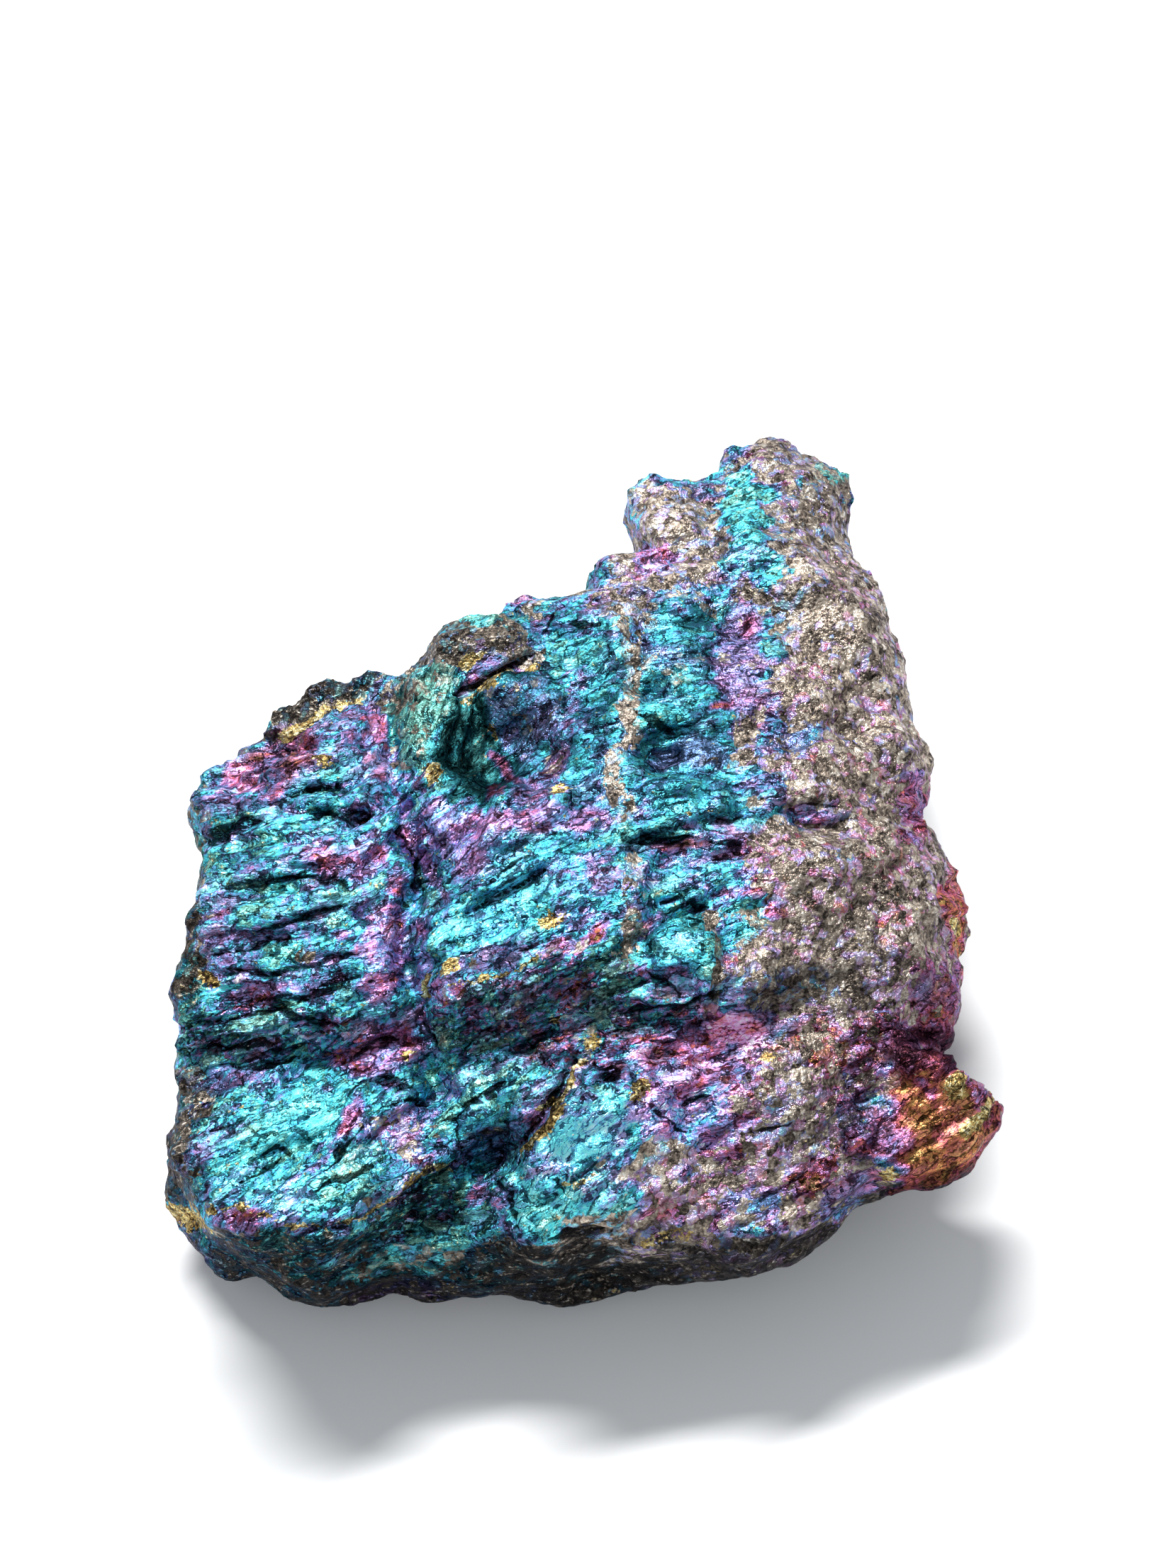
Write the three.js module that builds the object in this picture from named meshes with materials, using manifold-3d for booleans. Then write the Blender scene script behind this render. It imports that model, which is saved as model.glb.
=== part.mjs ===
// Peacock ore: one hand-sized lump of broken, tarnished copper ore (bornite and chalcopyrite) that lies
// on a small flat spot. Its top is a broken face of lapped plates, ledges, hollows and nodules, with a
// granular back lobe and a knob at the front right corner. Millimetres, +Z up, the front at -Y.
//
// The lump is described as a field that is negative inside the stone and positive outside it. The field
// is drawn as one closed faceted surface, and the underside is cut off flat where the stone rests.
import * as THREE from "three";
import { mergeVertices } from "three/addons/utils/BufferGeometryUtils.js";
import Module from "manifold-3d";

// Driving dimensions: the grid that the surface is drawn on.
const CELL = 1.14; // size of its cells
const HALF_WIDTH = 25; // it reaches this far to the sides
const HALF_DEPTH = 27; // and this far to the front and back
const LOWEST = -2.5; // its bottom
const HIGHEST = 20; // its top

// The walls. Each wall stands out the furthest at its waist.
const FRONT_WAIST = 3; // height of the waist at the left end of the front wall
const FRONT_RISE = 3.5; // how much higher it is at the right end of the front wall
const SIDE_WAIST = 7.5; // its height along the other walls
const KNOB_WAIST = 8.5; // its height at the knob, which overhangs
const UNDERCUT = 4; // how far the walls draw in below their waist
const WALL_LEAN = 0.12; // how much the walls draw in for each millimetre above their waist
const FRONT_Y = [-22, -15]; // the front wall turns into the side walls between these
const FRONT_X = [1, 10]; // the waist of the front wall rises between these
const KNOB_X = [13, 17]; // the knob begins between these
const KNOB_Y = [-14, -10]; // and ends between these, towards the back

// How round the edges are.
const SHARP_EDGE = 1.3; // radius of the top edge along the front and the left
const WORN_EDGE = 4.5; // radius of the top edge along the right side
const WORN_X = [4, 15]; // the top edge becomes worn round between these
const KNOB_EDGE = 0.8; // radius of the top edge of the knob
const BELLY_EDGE = 1.4; // radius between the walls and the underside

// The underside.
const REST_CENTRE = new THREE.Vector2(-0.5, -6); // middle of the flat spot
const REST_REACH = 6; // distance from there to where the underside starts to rise, to the sides
const REST_STRETCH = 1.4; // how many times further that is to the front and back
const BELLY_FACETS = 9; // broken faces around the flat spot
const BELLY_SLOPE = 5; // the least slope of these faces, in degrees
const BELLY_SLOPE_SPREAD = 6; // how much steeper one of them may be
const BELLY_SAG = 0.9; // how far the underside would reach below the flat spot before it is cut off

// Roughness of the broken rock, in three dimensions.
const CHIP_SIZE = 4.4; // size of the tilted chips that the surface breaks into
const CHIP_TILT = 0.25; // how steeply a chip may tilt
const CHIP_EDGE = 5; // how hard the edges between chips are
const GRIT_SIZE = 1.9; // size of the smaller unevenness
const GRIT_HEIGHT = 0.36; // and its height
const BELLY_SEED = 7; // seeds of the repeatable random numbers
const CHIP_SEED = 11;
const GRIT_SEED = 23;

// How the relief of the top is blended.
const LEVEL_REACH = 2.3; // how far each spot height is felt
const LEDGE_BLEND = 7; // the ground on both sides of a ledge meets over this distance
const END_FADE = 1.6; // a ledge or groove fades in and out over this length at its ends
const DENT_ROUNDNESS = 1.2; // how gently dents and bumps meet the ground around them

// The widest outline of the stone, seen from above, clockwise from the left end of its back edge.
const OUTLINE = [
  // back left shoulder
  [-20, 3.5], [-18.7, 5.5], [-17.2, 6.7], [-15.2, 8.5], [-14.5, 9.6], [-11.4, 9.2], [-10, 9.1],
  // back middle, up to the step beside the lobe
  [-8.7, 11.2], [-4.8, 12.3], [-3.4, 14.4], [0.2, 13.9], [0.3, 16.2], [4.1, 16.1],
  // back lobe
  [2.4, 20.1], [3.2, 22.3], [6.1, 21.6], [7.8, 22.7], [8.5, 24.5], [9.8, 25.4], [12.1, 24.7],
  [14.5, 23.4], [15.3, 22],
  // right side
  [15.8, 16.8], [17.5, 13.3], [18.4, 10.6], [18, 6.9], [20.1, 3.1], [18.4, 0.4], [20.3, -2.4],
  [21.5, -4.8], [20.4, -7.7],
  // knob at the front right corner
  [20, -10.3], [19.5, -13.8], [21.9, -14.9], [22.2, -15.2], [21.8, -16.2], [21, -18.3], [18, -19.5],
  [16.8, -19.7],
  // front
  [15, -20.1], [12.4, -22.2], [8.7, -23.7], [3.7, -23.7], [0.2, -24], [-5, -24.3], [-9.6, -23.9],
  [-14.8, -25],
  // left side
  [-17.1, -24], [-19.7, -23.1], [-20.9, -21.1], [-21.8, -19], [-21.2, -14.8], [-21.3, -11.5],
  [-22.2, -9.7], [-20.5, -5.2], [-20.7, -1.1], [-21.7, 1.4],
];

// Spot heights of the top: x, y and the level there. Between them the ground is blended.
const LEVELS = [
  // left block, and the shoulder that falls away behind it
  [-20, -9, 12.6], [-20, -4, 12.2], [-20, 1, 11], [-15, -8, 13.9], [-15, -3, 13.7], [-15, 2, 13],
  [-11, -9, 13.7], [-11, -3, 14.1], [-11, 3, 13.2], [-12.3, 6, 12], [-16.4, 4.3, 12],
  [-19, 6.5, 6.5], [-16, 9.5, 6.5], [-12, 10.5, 7],
  // lower left plate
  [-20.5, -15, 10.8], [-15, -15, 11.2], [-11, -15, 11.3], [-19.5, -21, 12], [-14, -21.5, 12.5],
  [-10, -18.5, 12.2], [-15, -18, 12], [-7.5, -22.5, 8],
  // high ground in the middle, and the hollow behind it
  [-6, -9, 15.8], [-2, -7.5, 16.3], [1.5, -7.5, 16], [-4, -4, 15.7], [0, -3, 15.8], [-7, -6, 14.6],
  [-4.6, 3, 14.6], [-8, 6, 12.4], [-8, 0, 13.6], [-2, 7, 14], [-6, 9.5, 12.6], [-3, 11.5, 12.2],
  // terrace and plates in front of it
  [-5, -14, 12.6], [-1, -14, 12.9], [2, -13, 13.3], [-6.5, -17, 11.8], [0, -17, 13.8],
  [2.5, -18, 13.6], [0, -20, 12.8], [-2, -22, 11],
  // column of blocks right of the middle
  [2, 0, 15.6], [5, 0, 15.7], [4, 5, 14.7], [2, 9, 13.8], [5, 10, 13.8], [1, 13, 12],
  [5, -9, 15.8], [8, -8, 15.6],
  // right side, up to the tip of the lobe
  [10, -8, 15], [14, -6, 14.5], [18, -6, 12.6], [10, 0, 15], [14, 0, 14.4], [17.5, 1, 12.4],
  [10, 6, 14.2], [16, 7, 12.4], [12, 12, 13], [8, 14, 13], [4, 17, 11.8], [6, 20, 10.5],
  [12, 18, 11.6], [10, 23, 9.4], [14, 21, 9.6],
  // front right ground and the knob
  [6, -14, 13.2], [10, -13.5, 13.7], [14, -13, 13], [6, -19, 12.2], [10, -19, 11.9], [13, -18, 11.6],
  [5, -23, 9.6], [10, -22.5, 9.4], [13.5, -20.5, 10.2], [15, -17.5, 11.8], [17, -16, 11.6],
  [19.4, -15, 11.6], [22, -16, 9.8], [20, -18.5, 9.6], [17, -20, 9.8],
];

// Ledges: the ground drops across each line, on the right hand of someone who walks along it.
// The drop is taken within the width, and the ground further off keeps its level.
const LEDGES = {
  "middle ledge": {
    drop: 3.2,
    width: 3.3,
    line: [[-9, -12.8], [-6, -12.4], [-3.5, -11.9], [-1, -10.9], [2.8, -10.6]],
  },
  "left ledge": { drop: 2.8, width: 1.9, line: [[-22.5, -12.6], [-18, -12.7], [-10.5, -12.6]] },
  "right ledge": { drop: 1.4, width: 1.2, line: [[1.5, -11.7], [5, -11.5], [8, -11.1], [11, -10.6]] },
  "black slit": { drop: 1.3, width: 0.9, line: [[1.4, -3], [4, -2.9], [7.2, -3.5]] },
  "gold ridge": { drop: 2, width: 1.2, line: [[1, -14], [-0.9, -16.7], [-2, -18.1], [-3.4, -20.6]] },
  "plate rim": { drop: 3, width: 2.2, line: [[-12, -22.6], [-9.5, -21.4], [-7.6, -20.4], [-5.5, -20.2]] },
  "shoulder": { drop: 4.5, width: 3.4, line: [[-21.5, 2.4], [-18, 5.6], [-14.6, 7.6], [-11, 8.6], [-9, 9]] },
  "step behind the column": { drop: 1.4, width: 1, line: [[1, 16], [1.4, 13.4], [-1, 12.6], [-4, 12.8]] },
  "left block lap 1": { drop: 1, width: 0.9, line: [[-21.5, -2.2], [-18.8, -1.3], [-16.4, -0.8]] },
  "left block lap 2": { drop: 1, width: 0.9, line: [[-16.2, -1.1], [-13.3, -0.4], [-10, -0.8]] },
  "left block lap 3": { drop: 1.1, width: 0.9, line: [[-20.5, -4.9], [-17, -4.4], [-11.2, -3.8]] },
  "left block lap 4": { drop: 0.9, width: 0.9, line: [[-19.5, -7.6], [-16, -7], [-10.4, -5.2]] },
  "left block lap 5": { drop: 0.9, width: 0.9, line: [[-17.5, 0.9], [-15, 1.5], [-11.8, 1.8]] },
  "left block lap 6": { drop: 0.8, width: 0.9, line: [[-19.5, -10], [-15, -9.4], [-11, -8.4]] },
  "plate lap 1": { drop: 0.9, width: 0.9, line: [[-17.5, -19.4], [-14.6, -18.2], [-11.6, -17.4]] },
  "plate lap 2": { drop: 0.8, width: 0.9, line: [[-12.6, -19.6], [-10.4, -17.6], [-8.2, -16.2]] },
  "high lap 1": { drop: 0.9, width: 0.9, line: [[-6.8, -7], [-3.6, -5.6], [-0.4, -4.2]] },
  "high lap 2": { drop: 0.8, width: 0.9, line: [[-5.4, -4.2], [-3, -2.9], [0.4, -1.8]] },
  "terrace lap": { drop: 0.9, width: 0.9, line: [[-7.2, -16.2], [-4.6, -15], [-1.6, -13.4]] },
  "column lap 1": { drop: 1, width: 0.9, line: [[0.6, 4.4], [3, 3.6], [6.4, 4]] },
  "column lap 2": { drop: 0.9, width: 0.9, line: [[0.8, 8.4], [3.4, 7.8], [6.8, 8.2]] },
  "right lap 1": { drop: 0.8, width: 1, line: [[9.8, -0.4], [12, -0.9], [15, -0.7]] },
  "right lap 2": { drop: 0.9, width: 1, line: [[13, -15.6], [14, -18], [14.4, -20]] },
  "back edge of the knob": {
    drop: 1.6,
    width: 1.2,
    line: [[22.6, -13.6], [19.6, -13.8], [17, -13.4], [15.4, -15]],
  },
};

// Grooves and ridges: a negative height is cut in, a positive one stands up.
const GROOVES = {
  "seam": {
    height: -1.3,
    width: 0.9,
    line: [
      [-10.5, 7.6], [-10.3, 4.7], [-9.9, 1.4], [-8.8, -1.7], [-8.3, -4.5], [-9.1, -8.1], [-8.5, -10.6],
      [-7.7, -14.6], [-7, -17.4],
    ],
  },
  "back slit": { height: -1.1, width: 0.7, line: [[-7.4, 5.8], [-5.6, 6.9], [-4.2, 7.8], [-1.8, 8.6]] },
  "back crest": { height: 0.7, width: 1.1, line: [[-8.6, 9.2], [-5.2, 10], [-2.4, 10.6]] },
  "crest of the knob": {
    height: 0.8,
    width: 0.8,
    line: [[18.8, -14.2], [20.3, -15.4], [21, -16.8], [19.4, -18.4]],
  },
  "vein": { height: 0.4, width: 0.8, line: [[1.6, 12], [2.4, 6], [2.2, 0], [2.8, -6], [2.6, -9]] },
  "furrow of the lobe": { height: -0.8, width: 1, line: [[7.2, 21.6], [7.4, 17], [8.2, 12], [7.6, 7]] },
};

// Dents and bumps: middle, half sizes, turn of the first in degrees, and the height at the middle.
const DENTS = {
  "shell-shaped hollow": { at: [-4.4, 3.1], half: [4.1, 3.7], turn: 10, height: -2.9 },
  "black pocket": { at: [-4.7, -18.7], half: [2.3, 1.8], turn: 30, height: -2.2 },
  "notch behind the knob": { at: [19.4, -12], half: [3.2, 1.7], turn: -15, height: -2.6 },
  "navy hollow": { at: [4.1, 2.2], half: [1.7, 1.1], turn: 0, height: -1 },
  "blue slot": { at: [4.4, 5.8], half: [2.2, 0.9], turn: -25, height: -1 },
  "dark hollow on the seam": { at: [-8.4, -3.2], half: [1.1, 2.4], turn: 10, height: -1.1 },
  "right slot": { at: [12.4, -1.4], half: [2.2, 0.8], turn: -8, height: -0.7 },
  "red hollow": { at: [-9.6, -12.9], half: [1.8, 1.4], turn: 20, height: -1 },
  "hollow under the middle ledge": { at: [-2.6, -13], half: [2.6, 1.1], turn: 8, height: -0.8 },
  "right hollow": { at: [14.6, 4.4], half: [2.4, 1.4], turn: 30, height: -0.7 },
  "round nodule": { at: [5.5, -9.2], half: [2, 2], turn: 0, height: 1.5 },
  "nodule on the seam": { at: [-9.3, -4.3], half: [1, 1], turn: 0, height: 0.8 },
  "nodules of the column": { at: [4.2, -0.2], half: [2.3, 1.5], turn: 0, height: 0.9 },
  "nodule beside the column": { at: [7, -0.8], half: [1.2, 1.2], turn: 0, height: 0.8 },
  "nub on the back edge": { at: [-5.1, 12.2], half: [1.6, 1.2], turn: 25, height: 0.9 },
  "crown of the blue plate": { at: [0.9, -17.8], half: [2.6, 2.4], turn: 0, height: 0.6 },
  "right swell": { at: [11.6, -5], half: [4.4, 3.4], turn: 20, height: 0.7 },
  "lower right swell": { at: [9.6, -17.4], half: [3.6, 3], turn: 0, height: 0.6 },
  "swell of the lobe": { at: [12.6, 14.6], half: [3, 5], turn: 0, height: 0.6 },
};

const { clamp, degToRad, lerp } = THREE.MathUtils;
const smooth = THREE.MathUtils.smoothstep;

// A repeatable number from 0 to 1 for each point of a whole-number grid.
function gridValue(i, j, k, seed) {
  const cell = Math.imul(i, 374761393) ^ Math.imul(j, 668265263) ^ Math.imul(k, 1440662683);
  let mixed = cell ^ Math.imul(seed, 974711);
  mixed = Math.imul(mixed ^ (mixed >>> 13), 1274126177);
  mixed = Math.imul(mixed ^ (mixed >>> 15), 2246822519);
  return ((mixed ^ (mixed >>> 16)) >>> 0) / 2 ** 32;
}

// Smooth noise between -1 and 1, for cells of size 1.
function noise(point, seed) {
  const cell = point.map(Math.floor);
  const part = point.map((v, axis) => smooth(v - cell[axis], 0, 1));
  let sum = 0;
  for (let corner = 0; corner < 8; corner += 1) {
    const step = [corner & 1, (corner >> 1) & 1, corner >> 2];
    const weight = step.reduce((w, s, axis) => w * (s ? part[axis] : 1 - part[axis]), 1);
    const [i, j, k] = cell.map((c, axis) => c + step[axis]);
    sum += weight * gridValue(i, j, k, seed);
  }
  return 2 * sum - 1;
}

// Height of a surface broken into tilted chips of size 1, one for each cell of a loose grid.
function chips(point, seed) {
  const home = point.map(Math.floor);
  let sum = 0;
  let weights = 0;
  for (let n = 0; n < 27; n += 1) {
    const step = [(n % 3) - 1, (Math.floor(n / 3) % 3) - 1, Math.floor(n / 9) - 1];
    const cell = home.map((h, axis) => h + step[axis]);
    const away = cell.map((c, axis) => point[axis] - c - gridValue(...cell, seed + axis));
    const tilt = away.reduce((t, a, axis) => t + a * (2 * gridValue(...cell, seed + 3 + axis) - 1), 0);
    const weight = Math.exp(-CHIP_EDGE * away.reduce((t, a) => t + a * a, 0));
    sum += weight * tilt;
    weights += weight;
  }
  return sum / weights;
}

// Place of (x, y) against a line: its distance, its side (+1 right, -1 left), and how far along the line
// the nearest point is.
function besideLine(line, x, y) {
  let best = { away: Infinity, side: 1, along: 0 };
  let walked = 0;
  for (let i = 1; i < line.length; i += 1) {
    const [ax, ay] = line[i - 1];
    const [bx, by] = line[i];
    const [ex, ey] = [bx - ax, by - ay];
    const length = Math.hypot(ex, ey);
    const t = clamp(((x - ax) * ex + (y - ay) * ey) / length ** 2, 0, 1);
    const away = Math.hypot(x - ax - t * ex, y - ay - t * ey);
    if (away < best.away) {
      const side = ex * (y - ay) - ey * (x - ax) > 0 ? -1 : 1;
      best = { away, side, along: walked + t * length };
    }
    walked += length;
  }
  return { ...best, length: walked };
}

// Fades a feature in and out over the first and last stretch of its line.
function endFade(place) {
  return smooth(place.along, 0, END_FADE) * smooth(place.length - place.along, 0, END_FADE);
}

// Distance to the outline, negative inside it.
function outlineDistance(x, y) {
  const closed = [...OUTLINE, OUTLINE[0]];
  let inside = false;
  for (let i = 1; i < closed.length; i += 1) {
    const [ax, ay] = closed[i - 1];
    const [bx, by] = closed[i];
    if (ay > y !== by > y && x < ax + ((y - ay) / (by - ay)) * (bx - ax)) inside = !inside;
  }
  const { away } = besideLine(closed, x, y);
  return inside ? -away : away;
}

// Level of the ground at (x, y): the spot heights, each weighted by how near it is.
function groundLevel(x, y) {
  let sum = 0;
  let weights = 0;
  for (const [lx, ly, level] of LEVELS) {
    const weight = Math.exp(-((x - lx) ** 2 + (y - ly) ** 2) / (2 * LEVEL_REACH ** 2)) + 1e-9;
    sum += weight * level;
    weights += weight;
  }
  return sum / weights;
}

// A ledge gathers the fall of the ground around it into its own width.
function ledgeHeight({ drop, width, line }, x, y) {
  const place = besideLine(line, x, y);
  const past = place.away * place.side;
  const blend = Math.max(LEDGE_BLEND, 3 * width);
  if (place.away > blend / 2) return 0;
  const sharp = smooth(past, -width / 2, width / 2);
  const gentle = smooth(past, -blend / 2, blend / 2);
  return -drop * (sharp - gentle) * endFade(place);
}

function grooveHeight({ height, width, line }, x, y) {
  const place = besideLine(line, x, y);
  return height * Math.exp(-((place.away / width) ** 2)) * endFade(place);
}

function dentHeight({ at, half, turn, height }, x, y) {
  const angle = degToRad(turn);
  const [dx, dy] = [x - at[0], y - at[1]];
  const across = (dx * Math.cos(angle) + dy * Math.sin(angle)) / half[0];
  const along = (dy * Math.cos(angle) - dx * Math.sin(angle)) / half[1];
  return height * Math.max(0, 1 - across ** 2 - along ** 2) ** DENT_ROUNDNESS;
}

function sumOf(features, heightOf, x, y) {
  return Object.values(features).reduce((sum, feature) => sum + heightOf(feature, x, y), 0);
}

// Height of the top of the stone over (x, y).
function topHeight(x, y) {
  return groundLevel(x, y)
    + sumOf(LEDGES, ledgeHeight, x, y)
    + sumOf(GROOVES, grooveHeight, x, y)
    + sumOf(DENTS, dentHeight, x, y);
}

// 1 on the knob, 0 away from it.
function onKnob(x, y) {
  return smooth(x, ...KNOB_X) * (1 - smooth(y, ...KNOB_Y));
}

// The walls: the outline, drawn in below the waist and, a little, above it.
function wallDistance(x, y, z) {
  const front = FRONT_WAIST + FRONT_RISE * smooth(x, ...FRONT_X);
  const around = lerp(front, SIDE_WAIST, smooth(y, ...FRONT_Y));
  const waist = lerp(around, KNOB_WAIST, onKnob(x, y));
  const below = Math.max(0, waist - z) / waist;
  const above = Math.max(0, z - waist);
  return outlineDistance(x, y) + UNDERCUT * below ** 2 * (waist / SIDE_WAIST) + WALL_LEAN * above;
}

// The underside: broken faces around the flat spot, each rising outwards at its own slope.
const belly = Array.from({ length: BELLY_FACETS }, (_, k) => {
  const chance = (n) => gridValue(k, n, 0, BELLY_SEED);
  const heading = ((k + 0.6 * chance(1)) / BELLY_FACETS) * 2 * Math.PI;
  const slope = degToRad(BELLY_SLOPE + BELLY_SLOPE_SPREAD * chance(2));
  const reach = REST_REACH * (0.9 + 0.3 * chance(3));
  const normal = new THREE.Vector3(
    Math.sin(slope) * Math.cos(heading),
    Math.sin(slope) * Math.sin(heading),
    -Math.cos(slope),
  );
  const edge = new THREE.Vector3(
    REST_CENTRE.x + reach * Math.cos(heading),
    REST_CENTRE.y + reach * REST_STRETCH * Math.sin(heading),
    0,
  );
  return new THREE.Plane().setFromNormalAndCoplanarPoint(normal, edge);
});

function bellyDistance(x, y, z) {
  const point = new THREE.Vector3(x, y, z);
  return Math.max(-z - BELLY_SAG, ...belly.map((plane) => plane.distanceToPoint(point)));
}

// The larger of two distances, with the corner between them rounded.
function roundMax(a, b, radius) {
  const near = Math.max(radius - Math.abs(a - b), 0) / radius;
  return Math.max(a, b) + (near ** 2 * radius) / 4;
}

// Radius of the top edge near (x, y).
function topEdge(x, y) {
  const worn = smooth(x, ...WORN_X) * smooth(y, ...FRONT_Y);
  return lerp(lerp(SHARP_EDGE, WORN_EDGE, worn), KNOB_EDGE, onKnob(x, y));
}

// The whole stone: negative inside, positive outside.
function stone(x, y, z) {
  const upper = roundMax(z - topHeight(x, y), wallDistance(x, y, z), topEdge(x, y));
  const whole = roundMax(upper, bellyDistance(x, y, z), BELLY_EDGE);
  const chip = CHIP_SIZE * CHIP_TILT * chips([x / CHIP_SIZE, y / CHIP_SIZE, z / CHIP_SIZE], CHIP_SEED);
  const grit = GRIT_HEIGHT * noise([x / GRIT_SIZE, y / GRIT_SIZE, z / GRIT_SIZE], GRIT_SEED);
  return whole + chip + grit;
}

// Slope of the field at a point, as a unit vector that points out of the stone.
function outward(x, y, z) {
  const step = CELL / 20;
  return new THREE.Vector3(
    stone(x + step, y, z) - stone(x - step, y, z),
    stone(x, y + step, z) - stone(x, y - step, z),
    stone(x, y, z + step) - stone(x, y, z - step),
  ).normalize();
}

// Draws the surface on which the field is zero: one vertex in each cell that the surface passes, moved to
// where the surface's own planes in that cell meet, and one square across each cell edge that it cuts.
function drawSurface() {
  const low = [-HALF_WIDTH, -HALF_DEPTH, LOWEST];
  const high = [HALF_WIDTH, HALF_DEPTH, HIGHEST];
  const count = low.map((v, axis) => Math.ceil((high[axis] - v) / CELL) + 1);
  const stride = [1, count[0], count[0] * count[1]];
  const placeOf = (i, j, k) => new THREE.Vector3(i, j, k).multiplyScalar(CELL).add(new THREE.Vector3(...low));
  const value = new Float64Array(count[0] * count[1] * count[2]);
  const margin = CELL / 20;
  const eachPoint = (visit) => {
    for (let k = 0; k < count[2]; k += 1) {
      for (let j = 0; j < count[1]; j += 1) {
        for (let i = 0; i < count[0]; i += 1) visit([i, j, k], i + j * stride[1] + k * stride[2]);
      }
    }
  };
  eachPoint((grid, index) => {
    const p = placeOf(...grid);
    value[index] = stone(p.x, p.y, p.z);
  });

  // Where four neighbouring points alternate between inside and outside, the surface would touch itself
  // along a line, so the outside point of the four that is nearest to the stone is taken into it.
  const fillSquare = (grid, index, axis) => {
    const [u, v] = [(axis + 1) % 3, (axis + 2) % 3];
    if (grid[u] >= count[u] - 1 || grid[v] >= count[v] - 1) return false;
    const ring = [index, index + stride[u], index + stride[u] + stride[v], index + stride[v]];
    const [a, b, c, d] = ring.map((n) => value[n] < 0);
    if (a !== c || b !== d || a === b) return false;
    const outside = ring.filter((n) => value[n] >= 0).sort((m, n) => value[m] - value[n]);
    value[outside[0]] = -margin;
    return true;
  };
  let filled = true;
  while (filled) {
    filled = false;
    eachPoint((grid, index) => {
      for (let axis = 0; axis < 3; axis += 1) filled = fillSquare(grid, index, axis) || filled;
    });
  }

  // Where the surface cuts each grid edge, and its plane there, kept for the four cells around that edge.
  const cuts = new Map();
  const squares = [];
  const cutEdge = (grid, index, axis) => {
    const other = index + stride[axis];
    if (value[index] < 0 === value[other] < 0) return;
    const t = value[index] / (value[index] - value[other]);
    const point = placeOf(...grid);
    point.setComponent(axis, point.getComponent(axis) + t * CELL);
    const normal = outward(point.x, point.y, point.z);
    const [u, v] = [stride[(axis + 1) % 3], stride[(axis + 2) % 3]];
    const around = [index, index - u, index - u - v, index - v];
    for (const cell of around) {
      if (!cuts.has(cell)) cuts.set(cell, []);
      cuts.get(cell).push({ point, normal });
    }
    squares.push(value[index] < 0 ? around : around.reverse());
  };
  eachPoint((grid, index) => {
    for (let axis = 0; axis < 3; axis += 1) {
      if (grid[axis] < count[axis] - 1) cutEdge(grid, index, axis);
    }
  });

  // Each cell's vertex starts in the middle of the cell's cuts and is moved towards all of their planes.
  const moves = 12;
  const positions = [];
  const vertexOf = new Map();
  for (const [cell, found] of cuts) {
    const vertex = new THREE.Vector3();
    found.forEach(({ point }) => vertex.addScaledVector(point, 1 / found.length));
    for (let move = 0; move < moves; move += 1) {
      const pull = new THREE.Vector3();
      for (const { point, normal } of found) {
        pull.addScaledVector(normal, normal.dot(point.clone().sub(vertex)) / found.length);
      }
      vertex.add(pull);
    }
    const row = Math.floor(cell / stride[1]);
    const corner = placeOf(cell % stride[1], row % count[1], Math.floor(row / count[1]));
    vertex.clamp(corner.clone().addScalar(margin), corner.clone().addScalar(CELL - margin));
    vertexOf.set(cell, positions.length / 3);
    positions.push(...vertex.toArray());
  }

  // Each square is split along its shorter diagonal.
  const point = (n) => new THREE.Vector3().fromArray(positions, 3 * n);
  const faces = squares.flatMap((square) => {
    const [a, b, c, d] = square.map((cell) => vertexOf.get(cell));
    const shortAC = point(a).distanceTo(point(c)) < point(b).distanceTo(point(d));
    return shortAC ? [a, b, c, a, c, d] : [a, b, d, b, c, d];
  });
  const surface = new THREE.BufferGeometry();
  surface.setAttribute("position", new THREE.Float32BufferAttribute(positions, 3));
  surface.setIndex(faces);
  return surface;
}

const wasm = await Module();
wasm.setup();

function solidOf(geometry) {
  const bare = geometry.clone();
  bare.deleteAttribute("normal");
  bare.deleteAttribute("uv");
  const merged = mergeVertices(bare, 1e-4);
  return new wasm.Manifold(new wasm.Mesh({
    numProp: 3,
    vertProperties: merged.attributes.position.array,
    triVerts: new Uint32Array(merged.index.array),
  }));
}

function geometryOf(solid) {
  const mesh = solid.getMesh();
  const geometry = new THREE.BufferGeometry();
  geometry.setAttribute("position", new THREE.Float32BufferAttribute(mesh.vertProperties, 3));
  geometry.setIndex(new THREE.Uint32BufferAttribute(mesh.triVerts, 1));
  return geometry;
}

// The flat spot: everything under the resting plane is cut off.
function cutFlat(lump) {
  const depth = 10;
  const under = new THREE.BoxGeometry(4 * HALF_WIDTH, 4 * HALF_DEPTH, depth).translate(0, 0, -depth / 2);
  return geometryOf(solidOf(lump).subtract(solidOf(under)));
}

// The origin is the middle of the stone's box, at the resting plane.
function centred(geometry) {
  geometry.computeBoundingBox();
  const middle = geometry.boundingBox.getCenter(new THREE.Vector3());
  return geometry.translate(-middle.x, -middle.y, -geometry.boundingBox.min.z);
}

const ore = new THREE.Mesh(
  centred(cutFlat(drawSurface())),
  new THREE.MeshStandardMaterial({ color: 0x3f7f92, roughness: 0.42, metalness: 0.75, flatShading: true }),
);
ore.name = "peacock_ore";

const part = new THREE.Group();
part.add(ore);

export default part;
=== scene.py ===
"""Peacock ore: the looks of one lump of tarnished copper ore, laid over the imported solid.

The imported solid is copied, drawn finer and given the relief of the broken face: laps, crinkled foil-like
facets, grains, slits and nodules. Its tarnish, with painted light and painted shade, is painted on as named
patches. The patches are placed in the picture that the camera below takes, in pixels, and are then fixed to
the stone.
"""

import math
from collections import namedtuple

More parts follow.
